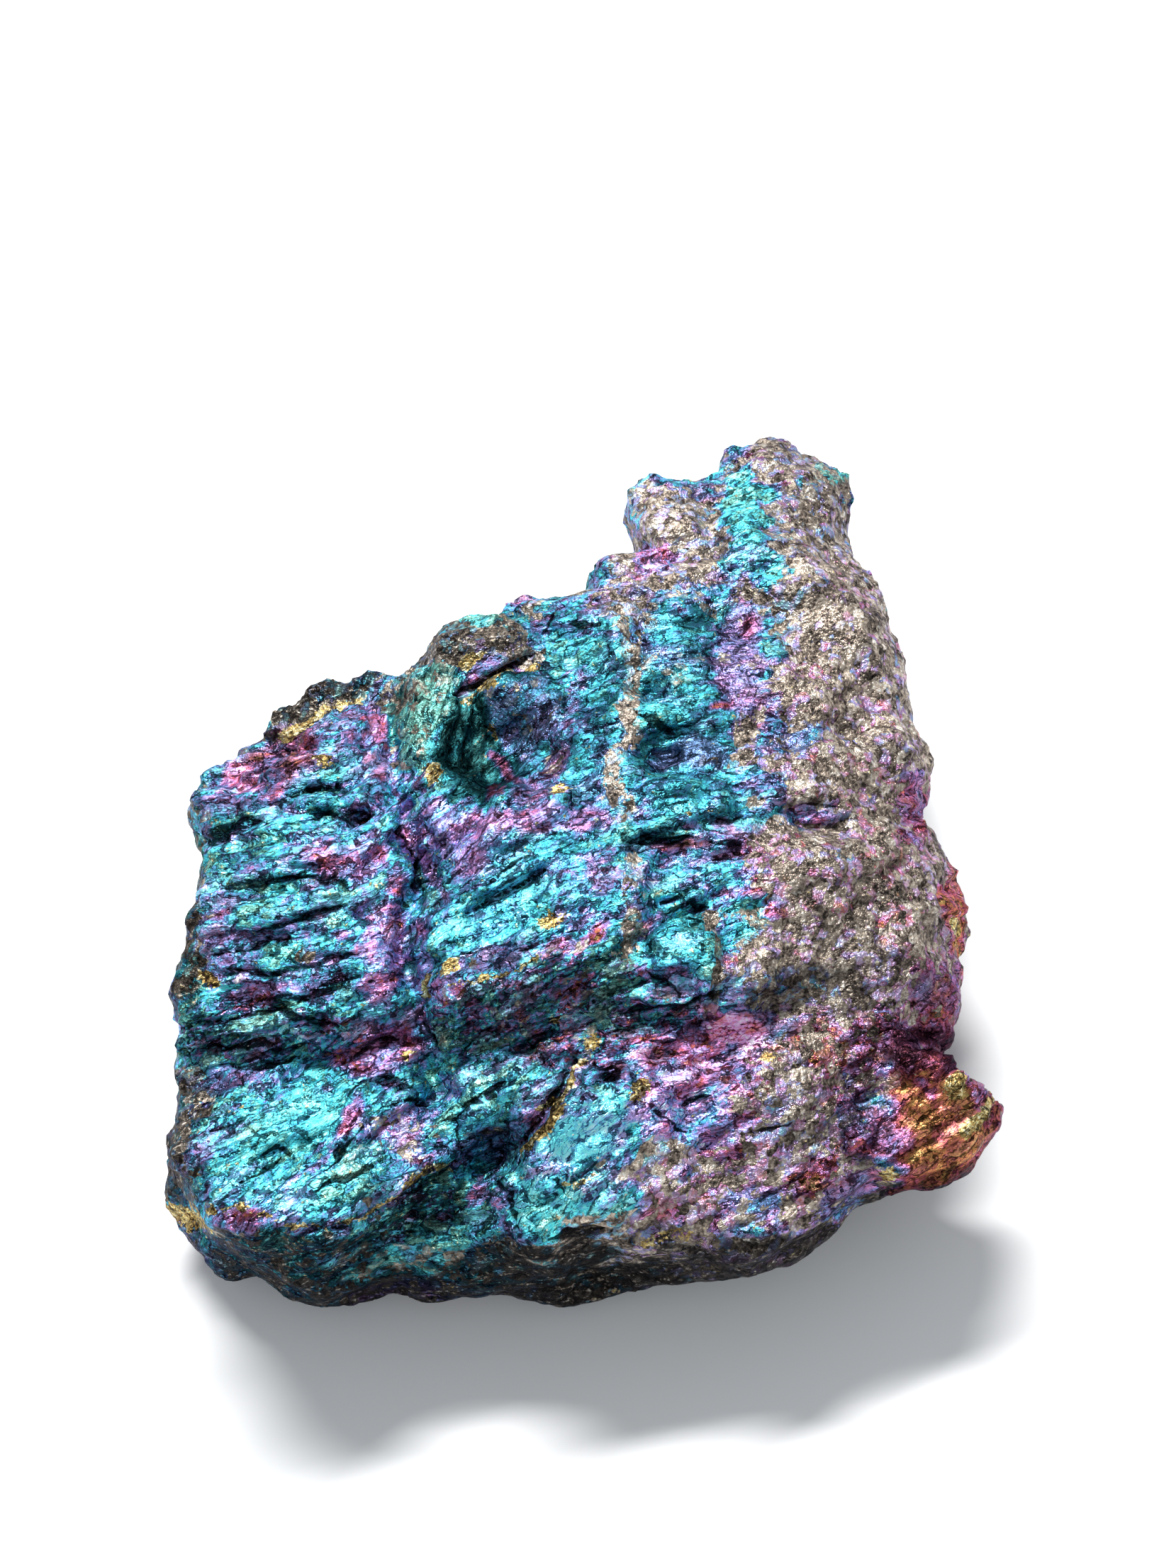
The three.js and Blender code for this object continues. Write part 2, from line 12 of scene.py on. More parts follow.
import bpy
import numpy as np
from mathutils import Matrix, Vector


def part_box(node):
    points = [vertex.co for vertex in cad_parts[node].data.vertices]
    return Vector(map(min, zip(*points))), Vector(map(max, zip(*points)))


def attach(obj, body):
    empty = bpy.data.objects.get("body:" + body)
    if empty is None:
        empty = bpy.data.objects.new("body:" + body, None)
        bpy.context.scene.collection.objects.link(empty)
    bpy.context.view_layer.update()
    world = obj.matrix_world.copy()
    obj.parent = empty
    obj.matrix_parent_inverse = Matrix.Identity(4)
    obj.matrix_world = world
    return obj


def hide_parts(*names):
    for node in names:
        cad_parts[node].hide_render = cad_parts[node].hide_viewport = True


MM = 0.001
NODE = "peacock_ore"

# The camera, in millimetres and degrees.
PICTURE = (1659, 2212)  # pixels
TARGET = np.array([0.36, 0.71, 14.0])  # the point in the middle of the picture
ELEVATION = 68.0
DISTANCE = 170.0
PIXELS_PER_MM = 26.5  # at the target
SENSOR = 36.0

# The fine surface, in millimetres unless a line says otherwise.
CELL = 0.262  # size of the fine faces
RELAX_ROUNDS = 7
WANDER = 1.6  # size of the waves in the borders of patches
LOOSE_BORDER = 17  # how far these waves move the border of a large patch, in pixels
FIRM_BORDER = 6  # the same for small patches, areas, lines and slits
AREA_EDGE = 6  # half width of the soft border of an area, in pixels
FRONT_WALL = (14, 18)  # from the stone's middle: where each wall begins and where it is full
LEFT_WALL = (15, 19)
RIGHT_WALL = (15, 18)
FLAT_SPOT = (0.02, 1.2)  # heights between which the relief sets in
LAP_ANGLES = (10.0, 27.0, 42.0, 78.0)  # the ways that the laps run, in degrees up from the right
LAPS = ((1.9, 0.95, 3), (0.85, 0.45, 17))  # long and short ones: spacing, height and the seed of the noise
RIDGES = (2.8, 0.7, 0.9)  # size of a crest along the laps, across them and upwards
RIDGE_HEIGHT = 0.26
FOIL = (2.0, 1.1, 1.1)  # size of a foil-like facet, the same way
FOIL_TILT = 0.42  # height gained over a facet
GRAIN = 0.62
BLOCK = 3.0  # inside a block the fine grain of the material keeps one way
GRAIN_TURN = 18  # how far that way departs from the laps, in degrees

# The material's patterns, in lots per millimetre.
WIDE_WAVES, MIDDLE_WAVES, FINE_WAVES, WAVER = 0.42, 1.5, 5.0, 1.9
LONG_PLATES, SHORT_FACETS = 1.25, 4.2
FIBRES, STREAKS, THIN_LINES, BRIGHTNESS = 4.2, 1.5, 1.9, 2.6
GRAINS = 1.9
BUMP_DEPTH = 0.16  # millimetres
WAY_STEP = 12.0  # the patterns turn in steps of so many degrees

# Colours of the tarnish over the thickness of its film, then of the grains and of the gold over their tone.
FILM_COLOURS = [
    (0.0, (0.70, 0.50, 0.18)), (0.12, (0.66, 0.26, 0.10)), (0.25, (0.60, 0.13, 0.18)),
    (0.37, (0.62, 0.24, 0.50)), (0.5, (0.46, 0.32, 0.69)), (0.62, (0.28, 0.35, 0.75)),
    (0.74, (0.12, 0.47, 0.77)), (0.86, (0.08, 0.62, 0.71)), (1.0, (0.22, 0.58, 0.49)),
]
GRAIN_COLOURS = [
    (0.0, (0.03, 0.025, 0.02)), (0.2, (0.14, 0.11, 0.09)), (0.42, (0.36, 0.295, 0.235)),
    (0.62, (0.55, 0.48, 0.40)), (0.8, (0.92, 0.89, 0.83)),
]
GOLD_COLOURS = [
    (0.3, (0.10, 0.06, 0.03)), (0.42, (0.42, 0.27, 0.09)), (0.58, (0.74, 0.57, 0.22)),
    (0.75, (0.98, 0.9, 0.6)),
]
# A pale pearly tint, partly the film's own colour and partly painted sheen.
PEARL_AND_SHEEN = (0.6, 0.68, 0.66, 1)

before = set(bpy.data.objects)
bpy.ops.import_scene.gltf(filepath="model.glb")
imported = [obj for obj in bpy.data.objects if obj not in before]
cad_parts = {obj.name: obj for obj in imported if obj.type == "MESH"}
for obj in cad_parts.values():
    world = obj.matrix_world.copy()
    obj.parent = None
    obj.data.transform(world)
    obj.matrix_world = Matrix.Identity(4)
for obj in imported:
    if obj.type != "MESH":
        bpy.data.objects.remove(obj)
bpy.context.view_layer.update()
RISE = math.radians(ELEVATION)
AHEAD = np.array([0.0, math.cos(RISE), -math.sin(RISE)])
UPWARD = np.array([0.0, math.sin(RISE), math.cos(RISE)])
EYE = TARGET - DISTANCE * AHEAD


# ---------------------------------------------------------------- repeatable noise

def chance(cells, seed):
    """A repeatable number from 0 to 1 for each whole-number cell."""
    i, j, k = (cells[..., axis].astype(np.int64).astype(np.uint32) for axis in range(3))
    mixed = i * np.uint32(374761393) ^ j * np.uint32(668265263) ^ k * np.uint32(1440662683)
    mixed = mixed ^ np.uint32(seed * 974711)
    mixed = (mixed ^ mixed >> 13) * np.uint32(1274126177)
    mixed = (mixed ^ mixed >> 15) * np.uint32(2246822519)
    return (mixed ^ mixed >> 16) / 2.0**32


def three_chances(cells, seed):
    return np.stack([chance(cells, seed + axis) for axis in range(3)], -1)


def noise(places, seed):
    """Smooth noise from -1 to 1, for cells of size 1."""
    cell = np.floor(places)
    part = places - cell
    part = part * part * (3 - 2 * part)
    total = np.zeros(len(places))
    for corner in range(8):
        step = np.array([corner & 1, corner >> 1 & 1, corner >> 2])
        weight = np.prod(np.where(step, part, 1 - part), axis=-1)
        total += weight * chance(cell + step, seed)
    return 2 * total - 1


def fractal(places, octaves, seed):
    """Noise of several sizes on top of each other."""
    return sum(noise(places * 2.0**n, seed + n) / 2.0**n for n in range(octaves))


Crystals = namedtuple("Crystals", "near gap lot face")


def crystals(places, seed):
    """For a loose pattern of crystals of size 1: distance to the nearest one's middle, how far the next
    one's is beyond that, a number from 0 to 1 for each crystal, and the height of its tilted face."""
    home = np.floor(places)
    near = np.full(len(places), 9.0)
    second = near.copy()
    lot = np.zeros(len(places))
    face = np.zeros(len(places))
    for n in range(27):
        cell = home + np.array([n % 3 - 1, n // 3 % 3 - 1, n // 9 - 1])
        away = places - (cell + three_chances(cell, seed))
        tilt = three_chances(cell, seed + 4) - 0.5
        distance = np.linalg.norm(away, axis=-1)
        closer = distance < near
        second = np.where(closer, near, np.minimum(second, distance))
        lot = np.where(closer, chance(cell, seed + 3), lot)
        face = np.where(closer, (away * tilt).sum(-1), face)
        near = np.minimum(near, distance)
    return Crystals(near, second - near, lot, face)


def ridges(places, seed):
    """Sharp crests from 0 to 1 that wander through loose cells of size 1."""
    bent = places + 0.35 * np.stack([noise(places * 1.3, seed + n) for n in range(3)], -1)
    return 1 - np.abs(noise(bent, seed + 3)) * 1.6


def ease(value, low, high):
    """0 below low, 1 above high, and smooth between them."""
    t = np.clip((value - low) / (high - low), 0, 1)
    return t * t * (3 - 2 * t)


# ---------------------------------------------------------------- patches, in pixels of the picture

# A patch is an ellipse: its middle, its half sizes, its turn in degrees, rising to the right, and values.
# film is the thickness of the film of tarnish, which gives it its colour. From thin to thick it is gold 0,
# orange 0.12, red 0.25, pink 0.37, purple 0.5, blue 0.62, azure 0.74, cyan 0.86 and green 1. bare is the
# share of uncoated grey grains, and gold that of bare golden metal. shade is the brightness: partly the
# stone's own lightness and darkness, partly painted shade on walls, ledges, pockets and hollows that lie in
# shade and painted light on faces that catch the light. sink is how deep the place lies, in millimetres.
# even calms its colours, painted glints and relief, and below 0 it stirs them.
PATCHES = {
    # large areas first
    "left block": ((400, 1230), (180, 190), 0, dict(film=0.75, shade=1)),
    "lower left plate": ((430, 1610), (190, 120), 20, dict(film=0.8, shade=1.1)),
    "high ground": ((740, 1240), (150, 120), 20, dict(film=0.77, shade=1.2, even=0.05)),
    "terrace": ((700, 1500), (150, 80), 25, dict(film=0.74, shade=0.7, bare=0.15)),
    "column": ((920, 1010), (100, 170), 0, dict(film=0.78, shade=0.6, even=0.3)),
    "right of the vein": ((990, 1280), (95, 110), 0, dict(film=0.76, shade=1.15)),
    "lower middle": ((840, 1640), (140, 110), 0, dict(film=0.74, shade=1.65)),
    "grey lobe": ((1110, 760), (130, 170), 0, dict(bare=0.8, film=0.56, shade=0.8)),
    "grey lobe, left": ((940, 760), (90, 80), 0, dict(bare=0.8, film=0.55, shade=1.2)),
    "grey right": ((1225, 1000), (150, 250), 0, dict(bare=0.85, film=0.45, shade=1.2)),
    "grey right, middle": ((1220, 1290), (170, 190), 0, dict(bare=0.85, film=0.42, shade=1.1)),
    "grey right, inner": ((1110, 1350), (70, 90), 0, dict(bare=0.75, film=0.42, shade=1.25)),
    "grey lower right": ((1150, 1580), (130, 170), 0, dict(bare=0.68, film=0.42, shade=1.1)),
    "grey low front": ((1020, 1690), (150, 65), 12, dict(bare=0.65, film=0.42, shade=1.15)),
    "grey above the column": ((880, 850), (60, 30), 0, dict(bare=0.7, film=0.6, shade=0.55)),
    # darker ground, much of it painted shade on walls, pockets, bays and hollows, then a few brighter places
    "shoulder behind the left block": ((430, 985), (150, 40), 24, dict(bare=0.7, shade=0.16, film=0.8)),
    "left wall": ((252, 1600), (38, 130), -4, dict(bare=0.6, shade=0.25, film=0.68)),
    "left wall, upper": ((262, 1330), (24, 150), -4, dict(bare=0.6, shade=0.22, film=0.8)),
    "back rock": ((650, 915), (110, 40), 24, dict(bare=0.75, shade=0.3, film=0.7)),
    "hollow, right part": ((752, 1010), (52, 62), 0, dict(film=0.78, shade=0.4, bare=0.25)),
    "black pocket": ((695, 1625), (50, 42), 10, dict(film=0.75, shade=0.25, bare=0.2)),
    "dark teal bay": ((605, 1705), (85, 42), 22, dict(film=0.82, shade=0.22, bare=0.2, even=-0.5)),
    "dark bay": ((470, 1765), (140, 28), 0, dict(film=0.8, shade=0.1, bare=0.45, even=0.4)),
    "lower right rim": ((1100, 1765), (170, 28), 14, dict(bare=0.85, film=0.5, shade=0.15, even=0.4)),
    "dark band to the knob": ((1215, 1560), (26, 110), 6, dict(bare=0.35, film=0.46, shade=0.28)),
    "ground above the notch": ((1250, 1470), (45, 45), 0, dict(bare=0.5, film=0.46, shade=0.38)),
    "left upper corner": ((315, 1150), (50, 30), 10, dict(film=0.74, shade=0.5)),
    "ground left of the dome": ((920, 1225), (34, 26), 0, dict(film=0.66, shade=1.5)),
    "slope at the vein": ((800, 920), (36, 36), 0, dict(film=0.8, shade=0.6)),
    "ground right of the column": ((1048, 1030), (26, 60), 0, dict(bare=0.85, film=0.5, shade=1.2)),
    "top of the left ledge": ((345, 1402), (60, 18), 6, dict(film=0.6, shade=2.2)),
    # cyan plates
    "bright plate, middle": ((425, 1575), (72, 52), 28, dict(film=0.87, shade=1.35, even=0.6)),
    "bright plate, left": ((340, 1640), (55, 42), 30, dict(film=0.84, shade=1.35, even=0.35)),
    "bright plate, front": ((400, 1690), (75, 26), 5, dict(film=0.82, shade=1.3, even=0.2)),
    "cyan plate": ((705, 1280), (78, 38), 32, dict(film=0.82, shade=1.5, even=0.45)),
    "cyan plate, back": ((750, 1218), (72, 34), 15, dict(film=0.81, shade=1.15, even=0.4)),
    "blue plate": ((815, 1600), (66, 55), 20, dict(film=0.76, shade=2.6, bare=0, even=0.7)),
    "cyan lobe": ((770, 1695), (52, 50), 0, dict(film=0.84, shade=2, even=0.4)),
    "cyan corner": ((850, 1690), (26, 40), 0, dict(film=0.84, shade=1.4)),
    "cyan streaks": ((700, 1545), (85, 20), 38, dict(film=0.88, shade=1.1)),
    "dome": ((963, 1340), (45, 34), 15, dict(film=0.86, shade=1.3, sink=-0.35, even=0.45)),
    "right of the dome": ((1040, 1300), (32, 48), 0, dict(film=0.84, shade=1.3)),
    "block 1": ((842, 930), (40, 36), 0, dict(film=0.83, shade=0.62, even=0.45)),
    "block 2": ((955, 878), (46, 26), 0, dict(film=0.78, shade=0.6, even=0.45)),
    "block 3": ((945, 950), (46, 42), 0, dict(film=0.79, shade=0.6, even=0.45, bare=0.3)),
    "block 4": ((832, 1080), (26, 60), -18, dict(film=0.77, shade=0.62, even=0.45)),
    "block 5": ((940, 1015), (44, 22), -20, dict(film=0.8, shade=1.25, even=0.45)),
    "block 6": ((975, 1125), (75, 42), 0, dict(film=0.82, shade=0.83, even=0.4)),
    "blue face": ((1000, 1135), (15, 24), 0, dict(film=0.75, shade=1.1)),
    "cyan on the left block": ((330, 1200), (55, 24), 8, dict(film=0.87, shade=0.72)),
    "cyan laps": ((400, 1275), (95, 24), 14, dict(film=0.83, shade=1.1)),
    "cyan laps, lower": ((390, 1345), (32, 20), 0, dict(film=0.92, shade=1.1)),
    "seam nodule": ((575, 1235), (20, 26), 0, dict(film=0.8, shade=1, sink=-0.2)),
    "cyan above the seam": ((560, 1130), (22, 28), 0, dict(film=0.84, shade=1.05)),
    "blue-grey slope": ((562, 1050), (18, 60), -10, dict(film=0.85, bare=0.4, shade=0.45)),
    "pale blades": ((505, 1640), (60, 26), 34, dict(film=0.86, shade=2.6, bare=0.15)),
    "green spots": ((468, 1304), (14, 14), 0, dict(film=1, bare=0.4, shade=0.9)),
    "grey spot": ((420, 1350), (12, 10), 0, dict(bare=0.9, shade=0.9)),
    "streaks on the front": ((590, 1765), (95, 22), 14, dict(film=0.88, shade=0.65)),
    "back nub": ((685, 872), (24, 16), 10, dict(film=0.82, bare=0, shade=1)),
    "lobe strip": ((1050, 710), (34, 52), 8, dict(film=0.88, bare=0.05, shade=1.05, even=0.3)),
    "lobe strip, middle": ((1068, 790), (38, 40), 0, dict(film=0.82, bare=0.2, shade=1)),
    "lobe tint": ((1165, 675), (32, 26), 0, dict(film=0.86, bare=0.6)),
    "lobe corner": ((895, 715), (20, 26), 0, dict(film=0.68, bare=0.45)),
}

# Smaller patches, laid over the areas.
SPOTS = {
    # blue and purple
    "foot of the plateau": ((700, 1345), (66, 15), 26, dict(film=0.64, shade=0.45, bare=0.15)),
    "navy hollow": ((937, 1066), (27, 13), -5, dict(film=0.66, shade=0.36, sink=0.25, even=0.9)),
    "navy, right": ((985, 1060), (34, 24), 0, dict(film=0.66, shade=0.36, even=0.9)),
    "purple along the high ground": ((760, 1160), (115, 20), 2, dict(film=0.47, shade=0.95, even=0.3)),
    "purple ground": ((640, 1180), (26, 55), 28, dict(film=0.52, shade=1.3, even=0.4)),
    "indigo groove": ((633, 1195), (7, 36), 22, dict(film=0.6, shade=0.4)),
    "purple on the left block": ((480, 1215), (60, 28), -10, dict(film=0.52, shade=0.95)),
    "purple laps": ((330, 1330), (50, 40), 15, dict(film=0.6, shade=0.7)),
    "violet streaks": ((380, 1400), (70, 14), 6, dict(film=0.55, shade=1)),
    "left ledge, far end": ((306, 1462), (62, 30), 0, dict(film=0.8, shade=0.5)),
    "bright laps on the ledge": ((795, 1442), (26, 20), 20, dict(film=0.68, shade=1.3)),
    "purple laps above the ledge": ((445, 1400), (34, 18), 0, dict(film=0.6, bare=0.2, shade=0.65)),
    "purple foot of the ledge": ((922, 1462), (42, 22), 0, dict(film=0.5, shade=0.42, even=-0.4)),
    "violet under the dome": ((930, 1300), (45, 14), 30, dict(film=0.58, shade=0.45)),
    "violet folds at the vein": ((850, 1228), (26, 46), 0, dict(film=0.54, shade=0.95)),
    "lobe purple": ((1045, 925), (34, 88), 0, dict(film=0.53, bare=0.3, shade=0.56, even=0.5)),
    "lobe purple, left": ((925, 790), (30, 24), 0, dict(film=0.45, bare=0.15)),
    "nub beside the lobe": ((833, 815), (16, 14), 0, dict(film=0.58, bare=0.2)),
    "blue streaks on the grey": ((1130, 1040), (40, 26), 30, dict(film=0.66, bare=0.5, shade=0.7, even=0.5)),
    "violet spots": ((1060, 1690), (55, 22), 14, dict(film=0.58, bare=0.35, even=0.4)),
    "violet ground": ((960, 1560), (60, 50), -20, dict(film=0.54, bare=0.15, shade=1.8)),
    "blue streaks at the rim": ((1190, 1690), (50, 22), 25, dict(film=0.62, bare=0.4, shade=0.8, even=0.4)),
    "wine spot": ((1145, 1655), (34, 24), 0, dict(film=0.34, bare=0.1, shade=0.4)),
    "violet at the knob": ((1205, 1670), (24, 16), 20, dict(film=0.6, bare=0.2, shade=0.7)),
    "purple back edge": ((725, 850), (34, 10), 8, dict(film=0.48, shade=0.9)),
    "violet pocket side": ((672, 1680), (15, 30), -25, dict(film=0.46, shade=0.6)),
    # pink, magenta and red
    "pink corner": ((332, 1095), (24, 26), 0, dict(film=0.4, shade=1.15, even=0.4)),
    "wine laps": ((394, 1070), (58, 44), 24, dict(film=0.4, shade=0.45)),
    "pink on the shoulder 1": ((531, 1030), (14, 18), 0, dict(film=0.38, shade=1.1, even=0.4)),
    "pink on the shoulder 2": ((538, 1090), (14, 18), 0, dict(film=0.38, shade=1, even=0.4)),
    "pink on the block 1": ((458, 1207), (18, 14), 0, dict(film=0.38, shade=1.1)),
    "pink on the block 2": ((530, 1203), (14, 12), 0, dict(film=0.3, shade=1.1)),
    "pink on the block 3": ((478, 1322), (15, 10), 0, dict(film=0.36)),
    "magenta on the seam": ((545, 1345), (34, 70), -10, dict(film=0.42, shade=1.3)),
    "magenta on the seam, back": ((557, 1250), (13, 26), 10, dict(film=0.42, shade=0.75)),
    "teal in the seam": ((558, 1176), (20, 30), 0, dict(film=0.78, shade=1)),
    "magenta strip": ((612, 1240), (10, 40), 28, dict(film=0.46, shade=0.8, even=0.4)),
    "pink strip": ((655, 1160), (30, 18), 20, dict(film=0.42, shade=1.05, even=0.3)),
    "pink strip, back": ((735, 1150), (26, 12), 10, dict(film=0.42, shade=1)),
    "red hollow": ((528, 1475), (62, 46), -15, dict(film=0.43, shade=0.95)),
    "pink streak": ((492, 1578), (34, 12), 50, dict(film=0.36, shade=1.1)),
    "pearly ground": ((562, 1600), (46, 36), -20, dict(film=0.62, bare=0.45, shade=1.3)),
    "foot of the hollow": ((690, 1100), (54, 30), 20, dict(film=0.9, shade=0.13, bare=0, even=0.75)),
    "ground beside the hollow": ((784, 1080), (14, 34), -25, dict(film=0.5, bare=0.4, shade=0.5)),
    "ground below the hollow": ((762, 1118), (40, 16), 10, dict(film=0.58, bare=0.3, shade=0.42)),
    "ground left of the hollow": ((618, 1104), (26, 14), 0, dict(film=0.85, shade=0.5)),
    "dull rock at the shoulder": ((560, 978), (30, 30), 0, dict(bare=0.7, shade=0.45)),
    "knob, red side": ((1272, 1530), (26, 24), 0, dict(film=0.25, shade=0.6, even=0.5)),
    "ground left of the vein": ((858, 988), (28, 40), 0, dict(film=0.8, shade=0.36)),
    "dark nick above the blue plate": ((862, 1514), (28, 20), 0, dict(film=0.5, shade=0.3)),
    "pearly lip": ((802, 1334), (40, 14), 20, dict(film=0.42, bare=0.35, shade=1)),
    "ground below the magenta": ((1072, 1486), (28, 17), 0, dict(film=0.36, bare=0.4, shade=1)),
    "dark slope at the gold ridge": ((778, 1532), (40, 24), 52, dict(film=0.64, bare=0.2, shade=0.55)),
    "pearly edge": ((684, 1345), (44, 13), 24, dict(film=0.6, bare=0.3, shade=0.38)),
    "streaks above the pocket": ((682, 1570), (46, 15), 38, dict(film=0.84, bare=0.2, shade=1.35)),
    "bright end of the ledge": ((624, 1402), (24, 19), 20, dict(film=0.5, bare=0.25, shade=1.5)),
    "crimson strip in the hollow": ((712, 1088), (9, 34), 32, dict(film=0.34, shade=0.22, bare=0)),
    "crimson foot of the hollow": ((700, 1125), (14, 8), 0, dict(film=0.28, shade=0.25)),
    "red on the ledge": ((835, 1318), (28, 14), 25, dict(film=0.22, shade=1.1)),
    "red lip": ((950, 1195), (42, 8), 5, dict(film=0.38, shade=1)),
    "magenta right": ((1040, 1452), (46, 30), -20,
        dict(film=0.34, bare=0.12, shade=3.2, even=0.5, sink=-0.2)),
    "magenta middle": ((945, 1500), (60, 46), -20, dict(film=0.42, bare=0, shade=2)),
    "red streak": ((975, 1535), (24, 14), 20, dict(film=0.28, bare=0, shade=1.7)),
    "pink triangle": ((1012, 998), (13, 8), 0, dict(film=0.27, bare=0, shade=1.1)),
    "lobe wine": ((1060, 885), (12, 22), 0, dict(film=0.34, bare=0.1, even=0.4)),
    "slot in the grey": ((1146, 1150), (34, 10), -5, dict(film=0.42, bare=0.15, shade=1)),
    "pink beside the dome": ((1090, 1285), (16, 12), 0, dict(film=0.3, bare=0.2)),
    "violet beside the dome": ((1045, 1262), (30, 10), 0, dict(film=0.46, bare=0.1)),
    "right edge, back": ((1290, 1135), (20, 50), 5, dict(film=0.42, bare=0.2, shade=0.8, even=0.3)),
    "right edge, middle": ((1345, 1285), (16, 75), 0, dict(film=0.22, bare=0.12, shade=1.1)),
    "right edge, inner": ((1322, 1400), (34, 44), 0, dict(film=0.38, bare=0.35, shade=0.6)),
    "notch": ((1314, 1480), (60, 44), 0, dict(film=0.3, bare=0, shade=0.1, even=0.7, sink=-0.5)),
    "front glow": ((935, 1712), (42, 12), 4, dict(film=0.3, bare=0.5, shade=1.1)),
    # copper and tan
    "knob": ((1322, 1598), (90, 76), 15, dict(film=0.14, bare=0, shade=1.05, even=0.6)),
    "knob, pink side": ((1268, 1612), (20, 26), 20, dict(film=0.31, shade=0.85, even=0.5)),
    "knob, inner side": ((1245, 1600), (22, 50), 10, dict(film=0.36, bare=0, shade=0.7, even=0.3)),
    "knob, lower side": ((1310, 1665), (70, 14), 18, dict(film=0.2, bare=0, shade=0.4, even=0.5)),
    "knob, far side": ((1392, 1560), (18, 26), -20, dict(film=0.22, shade=0.45, even=0.5)),
    "tan band": ((940, 1745), (45, 9), 8, dict(gold=0.55, shade=0.8)),
}

# Spots of bare golden metal: the middle, the half sizes, the turn and the brightness.
GOLD_SPOTS = {
    "knob, back": ((1350, 1532), (12, 14), -20, 1.1),
    "knob, side": ((1372, 1580), (11, 40), -28, 1),
    "knob, spark": ((1258, 1654), (12, 10), 0, 1.4),
    "shoulder 1": ((423, 1028), (34, 9), 24, 0.75),
    "shoulder 2": ((486, 997), (22, 8), 12, 1),
    "shoulder 3": ((455, 1072), (8, 9), 0, 1.1),
    "back 1": ((665, 935), (26, 10), 30, 0.9),
    "back 2": ((710, 955), (24, 9), 35, 0.9),
    "back 3": ((680, 985), (34, 5), 28, 1.4),
    "in the hollow": ((699, 1032), (6, 16), 20, 0.7),
    "below the hollow": ((608, 1092), (10, 14), 30, 0.9),
    "beside the hollow": ((796, 1117), (14, 8), 20, 1.3),
    "ledge 1": ((632, 1365), (18, 12), 30, 1.1),
    "ledge 2": ((602, 1395), (7, 22), 0, 0.9),
    "ledge 3": ((778, 1297), (22, 12), 10, 1.1),
    "slope 1": ((782, 1435), (10, 9), 0, 0.7),
    "slope 2": ((838, 1470), (8, 12), 20, 0.9),
    "red hollow": ((574, 1491), (8, 6), 20, 1.4),
    "left edge": ((293, 1385), (18, 8), -40, 0.7),
    "left front corner": ((262, 1712), (36, 16), -28, 1.2),
    "plate": ((335, 1706), (9, 8), 0, 1.2),
    "block face 1": ((1004, 1140), (6, 5), 0, 1.2),
    "block face 2": ((973, 1152), (4, 7), 0, 1.2),
    "orange spot": ((1090, 1493), (12, 8), 0, 1.1),
    "tan ground": ((900, 1535), (16, 16), 0, 0.9),
    "right edge": ((1348, 1307), (6, 14), 0, 1.1),
}

# Spots of pale or dull grains, laid on last.
GRAIN_SPOTS = {
    "grains on the back lip": ((678, 972), (28, 9), 28, dict(bare=0.8, shade=1.5)),
    "grains behind the hollow": ((738, 925), (34, 16), 20, dict(bare=0.75, shade=0.75)),
    "dull ground beside the knob": ((1165, 1405), (70, 28), 0, dict(bare=0.85, shade=0.75)),
    "white spot 1": ((938, 1665), (14, 12), 0, dict(bare=1, shade=1.8)),
    "white spot 2": ((1105, 1521), (9, 6), 0, dict(bare=1, shade=1.7)),
    "ground beside the slot": ((1096, 1164), (26, 16), 0, dict(bare=0.9, shade=1.7)),
    "pale ground, middle": ((1220, 980), (48, 38), 0, dict(bare=0.95, shade=1.75)),
    "pale ground, lobe": ((1165, 745), (44, 40), 0, dict(bare=0.9, shade=1.05)),
    "pale ground": ((1168, 868), (34, 24), 0, dict(bare=1, shade=1.7)),
    "pale ground, low": ((930, 1640), (42, 34), 0, dict(bare=0.9, shade=1.7)),
}

# Areas with clear borders: the corners and the values.
AREAS = {
    "pale green plane": ([
        (552, 1092), (545, 1000), (570, 953), (622, 932), (655, 962), (640, 1000), (615, 1040), (600, 1088),
    ], dict(film=0.98, bare=0.36, shade=0.78, even=0.3)),
    "shell-shaped hollow": ([
        (640, 988), (715, 957), (765, 955), (793, 985), (792, 1018), (778, 1052), (766, 1072), (737, 1120),
        (700, 1138), (668, 1130), (630, 1112), (606, 1090), (603, 1065), (622, 1025),
    ], dict(film=0.9, bare=0.05, shade=0.11, sink=-0.4, even=0.75)),
    "hollow, slate part": ([
        (690, 975), (765, 957), (795, 985), (792, 1025), (768, 1075), (735, 1112), (712, 1060), (690, 1020),
    ], dict(film=0.66, bare=0.3, shade=0.4, even=0.5)),
    # The slopes of the ledges carry painted shade and painted light in their shade values.
    "slope of the middle ledge": ([
        (612, 1420), (640, 1396), (700, 1386), (745, 1360), (800, 1340), (885, 1338), (925, 1388),
        (1000, 1416), (1000, 1438), (900, 1468), (850, 1500), (785, 1512), (700, 1482), (640, 1492),
        (606, 1462),
    ], dict(film=0.71, bare=0.3, shade=0.5, even=-0.9)),
    "slope of the left ledge": ([
        (236, 1436), (300, 1424), (380, 1408), (440, 1418), (505, 1438), (512, 1468), (450, 1500),
        (380, 1490), (300, 1502), (238, 1512),
    ], dict(film=0.72, bare=0.15, shade=1.15, even=-0.7)),
    "slope of the right ledge": ([
        (880, 1395), (930, 1402), (1000, 1395), (1050, 1372), (1060, 1400), (1000, 1428), (890, 1432),
    ], dict(film=0.7, bare=0.3, shade=1.4)),
    "slope in the grey": ([
        (1050, 1380), (1090, 1360), (1150, 1362), (1215, 1380), (1190, 1410), (1090, 1425), (1045, 1418),
    ], dict(film=0.6, bare=0.7, shade=0.5)),
}

